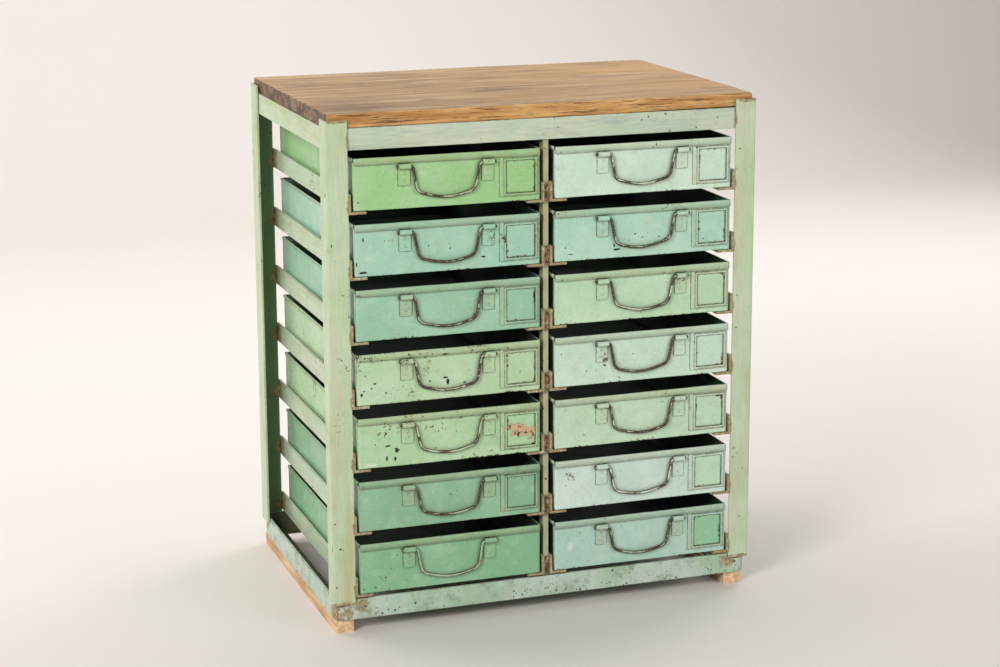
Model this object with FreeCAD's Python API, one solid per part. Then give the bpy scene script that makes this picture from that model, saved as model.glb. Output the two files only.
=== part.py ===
import FreeCAD, Part
import math
import os

# Storage rack of welded angle with two columns of pull-out steel trays and a board top.
# Millimetres, +Z up, front towards -Y. The origin lies on the floor, under the middle of the bounding box.

V = FreeCAD.Vector
X_AXIS = V(1, 0, 0)
Y_AXIS = V(0, 1, 0)
Z_AXIS = V(0, 0, 1)

# Overall sizes
width = 800.0                # over the posts
depth = 540.0                # over the posts
columns = ("left", "right")
rows = 7                     # trays in each column, counted from the top
lap_play = 0.3               # running clearance between a sliding tray and its runners
tray_headroom = 18.0         # between a tray and the runners of the row above

# Corner posts: angle with its toes facing inwards
post_front_leg = 40.0        # across the front or the back
front_post_side_leg = 32.0
rear_post_side_leg = 50.0
post_wall = 4.0
post_corner_radius = 4.0
post_lap = 8.0               # how far the posts reach down over the bottom frame
post_below_top = 11.0        # board surface above the post ends
post_slot_width = 4.0        # slot punched in the side of the rear left post
post_slot_height = 10.0
post_slot_drop = 131.0       # from the end of the post down to the middle of the slot
post_slot_margin = 10.6      # from the back of the post to the middle of the slot

# Top and bottom frames of angle
rail_height = 38.0
rail_ledge = 35.0
rail_wall = 4.0
mitre_snipe = 6.0            # corner cut off each mitre of the top frame
bottom_corner_radius = 16.0
head_gap = 14.2              # above the top trays
foot_gap = 3.5               # under the lowest runners

# Boards and skids
board_thickness = 25.5
board_count = 3
board_joint = 0.4
board_edge_gap = 1.0         # between the boards and the posts
board_corner_cut = 6.0
skid_height = 24.0
skid_width = 33.0
skid_inset = 12.0            # right skid, from the outer side of the frame
left_skid_inset = 5.0
skid_front_inset = 8.0

# Runners and centre posts
runner_wall = 5.0
runner_height = 31.0
runner_ledge = 27.0          # free width beside the upright leg
runner_tip_radius = 2.0
centre_post_width = 10.0
centre_post_depth = 20.0
runner_end_inset = 1.0       # from the back of the frame

# Trays
tray_side_gap = 4.5
tray_height = 91.0
tray_back_gap = 25.0
tray_sheet = 1.2
tray_fold_radius = 2.0
lip_height = 12.0
lip_proud = 3.0
hem_height = 5.0
hem_proud = 1.5

# Handle brackets
bracket_width = 22.0
bracket_sheet = 1.5
bracket_tail = 34.0          # from the pivot down to the lower edge
bracket_spacing = 151.0
handle_offset = -3.0         # handle's middle from the tray's middle
knuckle_radius = 4.6
knuckle_lip_gap = 0.8
rivet_radius = 2.6
rivet_height = 1.1
rivet_levels = (12.0, 24.0)  # below the pivot

# Bail handles
wire_radius = 2.8
pivot_play = 0.3
wire_stub = 3.0              # wire beyond the outer end of each knuckle
wire_leg_gap = 0.8           # between a knuckle's inner end and the leg of the bail
bail_drop = 58.5             # from the pivot down to the lowest part of the wire
bail_corner_in = 9.0         # how far the corners lie inside the legs
bail_corner_rise = 11.0      # how far the corners lie above the lowest part
bail_top_bend = 6.0
bail_corner_bend = 16.0
bail_bottom_bend = 110.0

# Card holders
card_width = 72.0
card_sheet = 1.0
card_end_gap = 2.5           # from the tray's right edge
card_lip_gap = 0.1           # under the lip
card_foot_gap = 8.9          # above the tray's lower edge
card_left_margin = 12.0      # from the plate's edges to the window
card_right_margin = 6.0
card_top_margin = 6.5
card_foot_margin = 5.5
card_rim = 4.0
card_rim_proud = 1.3
rows_without_card = {("left", 7)}

# Wood screws
screw_radius = 2.1
screw_length = 19.0          # under the head
screw_head_radius = 4.2
screw_head_height = 2.4
screw_hole_play = 0.4
skid_screws = 3

# Heights, from the floor up
tray_pitch = tray_height + lap_play + tray_headroom + runner_wall
bottom_frame_z = skid_height
post_foot_z = bottom_frame_z + rail_height - post_lap
lowest_ledge_z = bottom_frame_z + rail_height + foot_gap + runner_wall
top_frame_z = lowest_ledge_z + (rows - 1) * tray_pitch + tray_height + head_gap
board_z = top_frame_z + rail_height
total_height = board_z + board_thickness
post_top_z = total_height - post_below_top

# Plan positions
bail_plane = -knuckle_radius                     # pivot line, from the face of the tray
front_reach = knuckle_radius + max(knuckle_radius, wire_radius)
front_y = -(depth - front_reach) / 2
back_y = front_y + depth
half_width = width / 2
inner_x = half_width - post_wall                 # outer faces of both frames
inner_front_y = front_y + post_wall
inner_back_y = back_y - post_wall
side_leg_x = half_width - post_front_leg         # outer face of the side runners
bay_low_x = centre_post_width / 2 + runner_wall
bay_high_x = side_leg_x - runner_wall
bay_middle_x = (bay_low_x + bay_high_x) / 2
tray_width = bay_high_x - bay_low_x - 2 * tray_side_gap
tray_depth = depth - tray_back_gap
pivot_rise = tray_height - lip_height - knuckle_lip_gap - knuckle_radius
card_height = tray_height - lip_height - card_lip_gap - card_foot_gap
half_bail = bracket_spacing / 2 - bracket_width / 2 - wire_leg_gap - wire_radius


def box(x0, x1, y0, y1, z0, z1):
    """A block between two corners."""
    return Part.makeBox(x1 - x0, y1 - y0, z1 - z0, V(x0, y0, z0))


def plate(points, height):
    """A flat outline in plan, raised to a height."""
    outline = Part.makePolygon([*points, points[0]])
    return Part.Face(outline).extrude(Z_AXIS * height)


def save(name, solids):
    """Writes one sub-part, as one solid or as a group of separate solids."""
    shape = solids[0] if len(solids) == 1 else Part.makeCompound(solids)
    shape.exportStep(f"parts/{name}.step")


def mirrored_x(shape):
    """The same piece on the other side of the middle."""
    return shape.mirror(V(0, 0, 0), X_AXIS)


def angle_bar(leg_a, leg_b, wall, length, corner_radius, toe_radius):
    """Angle section standing on its end: corner at the origin, legs along +X and +Y."""
    outline = [
        V(0, 0, 0), V(leg_a, 0, 0), V(leg_a, wall, 0),
        V(wall, wall, 0), V(wall, leg_b, 0), V(0, leg_b, 0),
    ]
    bar = plate(outline, length)

    def upright_at(x, y):
        return [
            edge for edge in bar.Edges
            if abs(edge.BoundBox.XMax - x) < 1e-6 and abs(edge.BoundBox.XMin - x) < 1e-6
            and abs(edge.BoundBox.YMax - y) < 1e-6 and abs(edge.BoundBox.YMin - y) < 1e-6
        ]

    if corner_radius > 0:
        bar = bar.makeFillet(corner_radius, upright_at(0, 0))
    if toe_radius > 0:
        bar = bar.makeFillet(toe_radius, upright_at(leg_a, wall) + upright_at(wall, leg_b))
    return bar


# ---------------------------------------------------------------- frame

def post(side_leg, at_back):
    """Left-hand corner post."""
    bar = angle_bar(post_front_leg, side_leg, post_wall, post_top_z - post_foot_z, post_corner_radius, 1.5)
    if at_back:
        bar = bar.mirror(V(0, 0, 0), Y_AXIS)
    bar.translate(V(-half_width, back_y if at_back else front_y, post_foot_z))
    return bar


def post_slot():
    """Punched slot in the side of the rear left post, rounded at both ends."""
    radius = post_slot_width / 2
    middle_y, middle_z = back_y - post_slot_margin, post_top_z - post_slot_drop
    reach = post_slot_height / 2 - radius
    start = -half_width - 1
    slot = box(
        start, start + post_wall + 2, middle_y - radius, middle_y + radius, middle_z - reach, middle_z + reach
    )
    ends = [
        Part.makeCylinder(radius, post_wall + 2, V(start, middle_y, middle_z + side * reach), X_AXIS)
        for side in (-1, 1)
    ]
    return slot.fuse(ends).removeSplitter()


def top_rail_plan(cut_x, cut_y):
    """Outline of the front rail of a rectangle cut_x by cut_y in half lengths, mitred at both ends."""
    snipe = mitre_snipe
    reach = rail_ledge + rail_wall
    return [
        V(-cut_x + snipe, -cut_y, 0), V(cut_x - snipe, -cut_y, 0),
        V(cut_x - snipe / 2, -cut_y + snipe / 2, 0), V(cut_x - reach, -cut_y + reach, 0),
        V(-cut_x + reach, -cut_y + reach, 0), V(-cut_x + snipe / 2, -cut_y + snipe / 2, 0),
    ]


def laid_rail(half_length, half_span):
    """One rail of the top frame, placed along the front of a rectangle about the origin."""
    upright = box(-half_length, half_length, -half_span, -half_span + rail_wall, 0, rail_height)
    ledge = box(
        -half_length, half_length, -half_span, -half_span + rail_ledge, rail_height - rail_wall, rail_height
    )
    rail = upright.fuse(ledge).removeSplitter()
    mitre = plate(top_rail_plan(half_length, half_span), rail_height)
    return rail.common(mitre)


def rounded_block(half_x, half_y, radius, height):
    """A block about the origin with rounded upright edges."""
    block = box(-half_x, half_x, -half_y, half_y, 0, height)
    if radius <= 0:
        return block
    uprights = [edge for edge in block.Edges if abs(edge.BoundBox.ZLength - height) < 1e-6]
    return block.makeFillet(radius, uprights)


frame_middle_y = (inner_front_y + inner_back_y) / 2
frame_half_y = (inner_back_y - inner_front_y) / 2


def top_frame_rails():
    """The four rails of the top frame, by name."""
    front = laid_rail(inner_x, frame_half_y)
    side = laid_rail(frame_half_y, inner_x)
    rails = {"front": front.copy(), "rear": front.copy(), "left": side.copy(), "right": side.copy()}
    turns = {"front": 0, "rear": 180, "left": -90, "right": 90}
    for name, rail in rails.items():
        rail.rotate(V(0, 0, 0), Z_AXIS, turns[name])
        rail.translate(V(0, frame_middle_y, top_frame_z))
    return rails


def bottom_frame():
    """Ring of angle with rounded corners, its ledge at the bottom."""
    ring = rounded_block(inner_x, frame_half_y, bottom_corner_radius, rail_height)
    inner_radius = max(bottom_corner_radius - rail_wall, 0.0)
    well = rounded_block(inner_x - rail_wall, frame_half_y - rail_wall, inner_radius, rail_height)
    well.translate(V(0, 0, rail_wall))
    opening = rounded_block(inner_x - rail_ledge, frame_half_y - rail_ledge, 0.0, rail_height)
    ring = ring.cut(well).cut(opening)
    ring.translate(V(0, frame_middle_y, bottom_frame_z))
    return ring


def centre_posts():
    """Flat bars behind the front rails and in front of the rear rails."""
    foot = bottom_frame_z + rail_wall
    head = top_frame_z + rail_height - rail_wall
    half = centre_post_width / 2
    front = inner_front_y + rail_wall
    back = inner_back_y - rail_wall
    return [
        box(-half, half, front, front + centre_post_depth, foot, head),
        box(-half, half, back - centre_post_depth, back, foot, head),
    ]


def row_ledge_z(row):
    """Height of the ledge that carries a row; row 1 is the top one."""
    return lowest_ledge_z + (rows - row) * tray_pitch


def runner(row):
    """Runner to the left of a column: the outer face of its upright leg lies at x = 0."""
    length = depth - runner_end_inset
    ledge_z = row_ledge_z(row)
    upright = box(0, runner_wall, front_y, front_y + length, ledge_z - runner_wall, ledge_z + runner_height)
    ledge = box(
        0, runner_wall + runner_ledge, front_y, front_y + length, ledge_z - runner_wall, ledge_z
    )
    bar = upright.fuse(ledge).removeSplitter()
    tips = [
        edge for edge in bar.Edges
        if abs(edge.BoundBox.YLength - length) < 1e-6 and (
            (abs(edge.BoundBox.XMax - runner_wall - runner_ledge) < 1e-6 and edge.BoundBox.ZMax > ledge_z - 1e-3)
            or (edge.BoundBox.ZMax > ledge_z + 1 and edge.BoundBox.XMax > runner_wall - 1e-3)
        )
    ]
    return bar.makeFillet(runner_tip_radius, tips)


def runner_set(outer_x, toes_right):
    """All the runners on one side of a column."""
    bars = [runner(row) for row in range(1, rows + 1)]
    if not toes_right:
        bars = [mirrored_x(bar) for bar in bars]
    for bar in bars:
        bar.translate(V(outer_x, 0, 0))
    return bars


# ---------------------------------------------------------------- timber and screws

def screw(x, y, z, upwards):
    """Wood screw whose head bears at height z; its shank points up or down."""
    head = Part.makeCylinder(screw_head_radius, screw_head_height, V(0, 0, -screw_head_height))
    rim = [edge for edge in head.Edges if edge.BoundBox.ZMax < -screw_head_height + 1e-3]
    head = head.makeFillet(screw_head_height * 0.6, rim)
    shank = Part.makeCylinder(screw_radius, screw_length - screw_radius)
    point = Part.makeCone(screw_radius, 0.3, screw_radius, V(0, 0, screw_length - screw_radius))
    body = head.fuse(shank).fuse(point)
    if not upwards:
        body.rotate(V(0, 0, 0), X_AXIS, 180)
    body.translate(V(x, y, z))
    return body


def board_strips():
    """Front and back edge of each board of the top."""
    low = inner_front_y + board_edge_gap
    high = inner_back_y - board_edge_gap
    step = (high - low + board_joint) / board_count
    return [(low + i * step, low + (i + 1) * step - board_joint) for i in range(board_count)]


screw_line_x = inner_x - (rail_ledge + rail_wall) / 2
top_screw_z = board_z - rail_wall
skid_screw_z = bottom_frame_z + rail_wall
skid_front_y = front_y + skid_front_inset
skid_back_y = back_y - skid_front_inset


def top_screws():
    """Two screws near each end of each board, kept clear of the corners of the frame."""
    margin = rail_ledge + screw_head_radius + mitre_snipe
    spots = []
    for low, high in board_strips():
        for y in (low + (high - low) * 0.3, high - (high - low) * 0.3):
            held_y = min(max(y, inner_front_y + margin), inner_back_y - margin)
            spots += [(-screw_line_x, held_y), (screw_line_x, held_y)]
    return [screw(x, y, top_screw_z, True) for x, y in spots]


def skid_span(side):
    """Low and high X of the skid on one side."""
    outer = half_width - (skid_inset if side > 0 else left_skid_inset)
    return (outer - skid_width, outer) if side > 0 else (-outer, skid_width - outer)


def skid_screw_set():
    """Screws through the bottom ledge into each skid."""
    first = skid_front_y + rail_ledge + 2 * screw_head_radius
    last = skid_back_y - rail_ledge - 2 * screw_head_radius
    spots = [first + (last - first) * i / (skid_screws - 1) for i in range(skid_screws)]
    return [screw(sum(skid_span(side)) / 2, y, skid_screw_z, False) for side in (-1, 1) for y in spots]


def screw_holes(screws):
    """Clearance holes through the steel for a set of screws."""
    radius = screw_radius + screw_hole_play
    spans = [item.BoundBox for item in screws]
    return [Part.makeCylinder(radius, span.ZLength, V(span.Center.x, span.Center.y, span.ZMin)) for span in spans]


def timber_top(screws):
    """The boards, with their outer corners cut back to clear the posts."""
    half = inner_x - board_edge_gap
    low = inner_front_y + board_edge_gap
    high = inner_back_y - board_edge_gap
    cut = board_corner_cut
    outline = plate([
        V(-half + cut, low, 0), V(half - cut, low, 0), V(half, low + cut, 0), V(half, high - cut, 0),
        V(half - cut, high, 0), V(-half + cut, high, 0), V(-half, high - cut, 0), V(-half, low + cut, 0),
    ], board_thickness)
    outline.translate(V(0, 0, board_z))
    boards = []
    for front, back in board_strips():
        board = outline.common(box(-half, half, front, back, board_z, total_height))
        near = [item for item in screws if front < item.BoundBox.Center.y < back]
        boards.append(board.cut(near) if near else board)
    return boards


def skid(side, screws):
    """Batten under one side of the bottom frame."""
    low, high = skid_span(side)
    batten = box(low, high, skid_front_y, skid_back_y, 0, skid_height)
    return batten.cut([item for item in screws if item.BoundBox.Center.x * side > 0])


# ---------------------------------------------------------------- trays

def tray():
    """Open tray: its front face lies at y = 0, its middle at x = 0 and its underside at z = 0."""
    half = tray_width / 2
    shell = box(-half, half, 0, tray_depth, 0, tray_height)
    folds = [
        edge for edge in shell.Edges
        if edge.BoundBox.ZMax < 1e-6
        or (edge.BoundBox.YMax < 1e-6 and edge.BoundBox.ZLength > tray_height - 1e-6)
    ]
    shell = shell.makeFillet(tray_fold_radius, folds)
    hollow = box(
        -half + tray_sheet, half - tray_sheet, tray_sheet, tray_depth - tray_sheet, tray_sheet, tray_height + 1
    )
    inner_radius = max(tray_fold_radius - tray_sheet, 0.3)
    hollow_folds = [edge for edge in hollow.Edges if edge.BoundBox.ZMax < tray_sheet + 1e-6]
    shell = shell.cut(hollow.makeFillet(inner_radius, hollow_folds))
    # Lip along the front: folded forwards at the top and down again, open below.
    lip_low = tray_height - lip_height
    lip = box(-half, half, -lip_proud, tray_fold_radius, lip_low, tray_height)
    crown = [
        edge for edge in lip.Edges
        if edge.BoundBox.YMax < -lip_proud + 1e-6 and edge.BoundBox.ZMin > tray_height - 1e-6
    ]
    lip = lip.makeFillet(min(lip_proud * 0.6, 1.5), crown)
    groove = box(
        -half - 1, half + 1, -lip_proud + tray_sheet, 0, lip_low - 1, tray_height - tray_sheet
    )
    lip = lip.cut(groove).cut(box(
        -half + tray_sheet, half - tray_sheet, tray_sheet, tray_fold_radius + 1, 0, tray_height + 1
    ))
    shell = shell.fuse(lip)
    # Hems along the sides: the sheet is turned outwards and pressed flat.
    for side in (-1, 1):
        inner, outer = sorted((side * (half - tray_sheet), side * (half + hem_proud)))
        hem = box(inner, outer, tray_fold_radius, tray_depth, tray_height - hem_height, tray_height)
        rounded = [
            edge for edge in hem.Edges
            if edge.BoundBox.YLength > tray_depth / 2 and abs(edge.BoundBox.Center.x) > half + hem_proud - 1e-3
        ]
        shell = shell.fuse(hem.makeFillet(hem_proud * 0.45, rounded))
    return shell.removeSplitter()


def bracket():
    """Riveted plate with its upper edge rolled to a knuckle round the pivot line, at x = 0."""
    half = bracket_width / 2
    leaf = box(-half, half, -bracket_sheet, 0, -bracket_tail, 0)
    corners = [
        edge for edge in leaf.Edges
        if edge.BoundBox.YLength > bracket_sheet - 1e-6 and edge.BoundBox.ZMax < -bracket_tail + 1e-6
    ]
    leaf = leaf.makeFillet(2.0, corners)
    roll = Part.makeCylinder(knuckle_radius, bracket_width, V(-half, bail_plane, 0), X_AXIS)
    bore = Part.makeCylinder(wire_radius + pivot_play, bracket_width + 2, V(-half - 1, bail_plane, 0), X_AXIS)
    return leaf.fuse(roll).cut(bore).removeSplitter()


def rivet(z):
    """Low domed head on a bracket."""
    dome_radius = (rivet_radius ** 2 + rivet_height ** 2) / (2 * rivet_height)
    dome = Part.makeSphere(dome_radius, V(0, -bracket_sheet - rivet_height + dome_radius, z))
    keep = box(
        -rivet_radius, rivet_radius, -bracket_sheet - rivet_height, -bracket_sheet,
        z - rivet_radius, z + rivet_radius,
    )
    return dome.common(keep)


def card_holder():
    """Plate with a window and a raised rim round it; its lower right corner is at x = 0, z = 0."""
    sheet = box(-card_width, 0, -card_sheet, 0, 0, card_height)
    right = -card_right_margin
    left = -card_width + card_left_margin
    low = card_foot_margin
    high = card_height - card_top_margin
    rim = box(
        left - card_rim, right + card_rim, -card_sheet - card_rim_proud, -card_sheet, low - card_rim,
        high + card_rim,
    )
    outer = [edge for edge in rim.Edges if edge.BoundBox.YMax < -card_sheet - card_rim_proud + 1e-6]
    rim = rim.makeChamfer(card_rim_proud * 0.7, outer)
    window = box(left, right, -card_sheet - card_rim_proud - 1, 1, low, high)
    return sheet.fuse(rim).cut(window).removeSplitter()


def fittings(with_card):
    """What is riveted and welded to a tray's front, in the tray's own frame."""
    pieces = []
    for side in (-1, 1):
        x = handle_offset + side * bracket_spacing / 2
        pieces += [bracket(), *(rivet(-level) for level in rivet_levels)]
        for piece in pieces[-1 - len(rivet_levels):]:
            piece.translate(V(x, 0, pivot_rise))
    if with_card:
        holder = card_holder()
        holder.translate(V(tray_width / 2 - card_end_gap, 0, card_foot_gap))
        pieces.append(holder)
    return pieces


def bent_path(points, radii):
    """A wire of straight runs through the points, with a tangent arc at each inner point."""
    edges = []
    start = points[0]
    for before, corner, after, radius in zip(points, points[1:], points[2:], radii):
        inward = (before - corner).normalize()
        outward = (after - corner).normalize()
        half_angle = inward.getAngle(outward) / 2
        tangent = radius / math.tan(half_angle)
        middle_way = (inward + outward).normalize()
        middle = corner + middle_way * (radius / math.sin(half_angle) - radius)
        arc_start = corner + inward * tangent
        arc_end = corner + outward * tangent
        edges += [Part.LineSegment(start, arc_start).toShape(), Part.Arc(arc_start, middle, arc_end).toShape()]
        start = arc_end
    edges.append(Part.LineSegment(start, points[-1]).toShape())
    return Part.Wire(edges)


def bail():
    """Wire handle hanging from the pivot line at z = 0, in the tray's frame in x and y."""
    stub = bracket_spacing / 2 + bracket_width / 2 + wire_stub
    corner_x = half_bail - bail_corner_in
    corner_z = -bail_drop + bail_corner_rise
    # The lowest point of the wire lies above the meeting of the two lower runs, so they meet lower.
    dip = math.atan2(bail_corner_rise, corner_x)
    sag = bail_bottom_bend * (1 / math.cos(dip) - 1)
    outline = [
        V(-stub, bail_plane, 0), V(-half_bail, bail_plane, 0), V(-corner_x, bail_plane, corner_z),
        V(0, bail_plane, -bail_drop - sag), V(corner_x, bail_plane, corner_z),
        V(half_bail, bail_plane, 0), V(stub, bail_plane, 0),
    ]
    bends = [bail_top_bend, bail_corner_bend, bail_bottom_bend, bail_corner_bend, bail_top_bend]
    path = bent_path(outline, bends)
    ring = Part.Wire([Part.makeCircle(wire_radius, outline[0], X_AXIS)])
    wire = path.makePipeShell([ring], True, False)
    wire.translate(V(handle_offset, 0, pivot_rise))
    return wire


def tray_place(column, row):
    """Where a tray's own origin lies in the rack."""
    side = -1 if column == "left" else 1
    return V(side * bay_middle_x, front_y, row_ledge_z(row) + lap_play)


# ---------------------------------------------------------------- build

os.makedirs("parts", exist_ok=True)

left_posts = {"front": post(front_post_side_leg, False), "rear": post(rear_post_side_leg, True)}
for end, bar in left_posts.items():
    save(f"{end}_left_post", [bar.cut(post_slot()) if end == "rear" else bar])
    save(f"{end}_right_post", [mirrored_x(bar)])

top_set = top_screws()
skid_set = skid_screw_set()
for name, rail in top_frame_rails().items():
    save(f"top_{name}_rail", [rail.cut(screw_holes(top_set))])
save("bottom_frame", [bottom_frame().cut(screw_holes(skid_set))])
save("centre_posts", centre_posts())
save("left_side_runners", runner_set(-side_leg_x, True))
save("left_centre_runners", runner_set(-centre_post_width / 2, False))
save("right_centre_runners", runner_set(centre_post_width / 2, True))
save("right_side_runners", runner_set(side_leg_x, False))
save("timber_top", timber_top(top_set))
save("left_skid", [skid(-1, skid_set)])
save("right_skid", [skid(1, skid_set)])
save("wood_screws", top_set + skid_set)

tray_shape = tray()
bail_shape = bail()
for column in columns:
    for row in range(1, rows + 1):
        place = tray_place(column, row)
        name = f"{column}_drawer_{row}"
        save(f"{name}_tray", [tray_shape.translated(place)])
        card = (column, row) not in rows_without_card
        save(f"{name}_fittings", [piece.translated(place) for piece in fittings(card)])
        save(f"{name}_handle", [bail_shape.translated(place)])
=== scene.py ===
import logging
import math
import random
from collections.abc import Callable, Sequence
from dataclasses import dataclass, field
from enum import Enum

import bmesh
import bpy
from mathutils import Matrix, Vector, noise


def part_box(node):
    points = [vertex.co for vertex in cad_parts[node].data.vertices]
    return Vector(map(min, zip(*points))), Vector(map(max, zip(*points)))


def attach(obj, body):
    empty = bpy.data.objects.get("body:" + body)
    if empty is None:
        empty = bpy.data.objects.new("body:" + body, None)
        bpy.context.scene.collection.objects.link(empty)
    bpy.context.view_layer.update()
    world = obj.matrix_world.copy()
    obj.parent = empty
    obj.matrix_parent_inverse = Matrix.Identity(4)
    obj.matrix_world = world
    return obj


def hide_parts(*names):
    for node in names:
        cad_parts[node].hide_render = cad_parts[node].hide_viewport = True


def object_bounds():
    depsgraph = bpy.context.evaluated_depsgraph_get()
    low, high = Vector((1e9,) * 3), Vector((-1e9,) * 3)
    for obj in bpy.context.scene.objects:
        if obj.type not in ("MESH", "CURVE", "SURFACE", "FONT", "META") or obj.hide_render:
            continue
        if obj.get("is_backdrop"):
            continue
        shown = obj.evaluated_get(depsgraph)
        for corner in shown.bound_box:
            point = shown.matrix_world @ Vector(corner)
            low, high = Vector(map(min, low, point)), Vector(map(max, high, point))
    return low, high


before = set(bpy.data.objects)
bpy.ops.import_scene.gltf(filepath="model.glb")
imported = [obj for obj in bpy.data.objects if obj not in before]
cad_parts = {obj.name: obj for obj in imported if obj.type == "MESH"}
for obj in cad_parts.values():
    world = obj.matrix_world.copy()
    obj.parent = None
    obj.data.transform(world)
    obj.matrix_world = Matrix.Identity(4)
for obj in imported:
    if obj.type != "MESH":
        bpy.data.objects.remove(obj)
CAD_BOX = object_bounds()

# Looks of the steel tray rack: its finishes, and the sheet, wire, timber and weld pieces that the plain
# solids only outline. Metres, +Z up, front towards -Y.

LOG = logging.getLogger("tray_rack")
MM = 0.001
Socket = bpy.types.NodeSocket
COLUMNS = ("left", "right")
ROWS = range(1, 8)


# ---------------------------------------------------------------- small tools

def linear(hex_colour: str) -> tuple[float, float, float, float]:
    """Turns an sRGB hex colour into the linear colour that a shader takes.

    Args:
        hex_colour: Six hex digits after a hash sign.

    Returns:
        Linear red, green and blue with an alpha of one.
    """
    shares = [int(hex_colour[i:i + 2], 16) / 255 for i in (1, 3, 5)]
    red, green, blue = (s / 12.92 if s <= 0.04045 else ((s + 0.055) / 1.055) ** 2.4 for s in shares)
    return red, green, blue, 1.0


def per_metre(size_mm: float) -> float:
    """Gives the pattern scale at which one feature is size_mm wide."""
    return 1.0 / (size_mm * MM)


def add_node(tree: bpy.types.NodeTree, kind: str, inputs: dict | None = None, **settings) -> bpy.types.Node:
    """Adds a shader node with its settings, and fills or links its inputs.

    Args:
        tree: The material's node tree.
        kind: The node's type name without its "ShaderNode" start.
        inputs: Input name or number, with a value, a hex colour or the output to link.
        settings: Properties of the node itself.

    Returns:
        The new node.
    """
    made = tree.nodes.new("ShaderNode" + kind)
    for key, value in settings.items():
        setattr(made, key, value)
    for key, value in (inputs or {}).items():
        socket = made.inputs[key]
        if isinstance(value, Socket):
            tree.links.new(value, socket)
        else:
            socket.default_value = linear(value) if isinstance(value, str) else value
    return made


def toned(under: str, over: str, share: float) -> str:
    """Mixes two hex colours, with share of the second."""
    pairs = [(int(under[i:i + 2], 16), int(over[i:i + 2], 16)) for i in (1, 3, 5)]
    return "#" + "".join(f"{round(a + (b - a) * share):02x}" for a, b in pairs)


@dataclass(frozen=True)
class Zone:
    """Box in a piece's own coordinates, in metres, with the colour painted over the piece there as shade."""

    colour: str
    low: tuple[float, float, float]
    high: tuple[float, float, float]
    blur: float = 0.5 * MM


@dataclass(frozen=True)
class Spot:
    """Egg-shaped place in a piece's own coordinates, in metres, that may repeat up the piece."""

    centre: tuple[float, float, float]
    reach: tuple[float, float, float]
    every: float = 0.0


class Step(Enum):
    """Steps that the finishes are drawn with.

    Each holds the kind of node, its inputs with what they hold unless something is given, the output that
    is used, and the node's own settings. A Scale is given as the width of one feature in millimetres.
    """

    CLOUDS = ("TexNoise", {"Vector": (0, 0, 0), "Scale": 10.0, "Detail": 3.0, "Roughness": 0.55}, "Fac", {})
    SPAN = ("MapRange", {"Value": 0.0, "From Min": 0.0, "From Max": 1.0, "To Min": 0.0, "To Max": 1.0},
            "Result", {"interpolation_type": "SMOOTHSTEP"})
    PLUS = ("Math", {0: 0.0, 1: 0.0}, 0, {"operation": "ADD"})
    MINUS = ("Math", {0: 0.0, 1: 0.0}, 0, {"operation": "SUBTRACT"})
    TIMES = ("Math", {0: 0.0, 1: 0.0}, 0, {"operation": "MULTIPLY"})
    LEAST = ("Math", {0: 0.0, 1: 0.0}, 0, {"operation": "MINIMUM"})
    MOST = ("Math", {0: 0.0, 1: 0.0}, 0, {"operation": "MAXIMUM"})
    BLEND = ("Mix", {0: 0.5, 6: "#000000", 7: "#000000"}, 2, {"data_type": "RGBA"})
    SHADE = ("Mix", {0: 0.5, 6: "#000000", 7: "#000000"}, 2, {"data_type": "RGBA", "blend_type": "MULTIPLY"})
    RELIEF = ("Bump", {"Height": 0.0, "Distance": MM, "Strength": 1.0}, "Normal", {})


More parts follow.
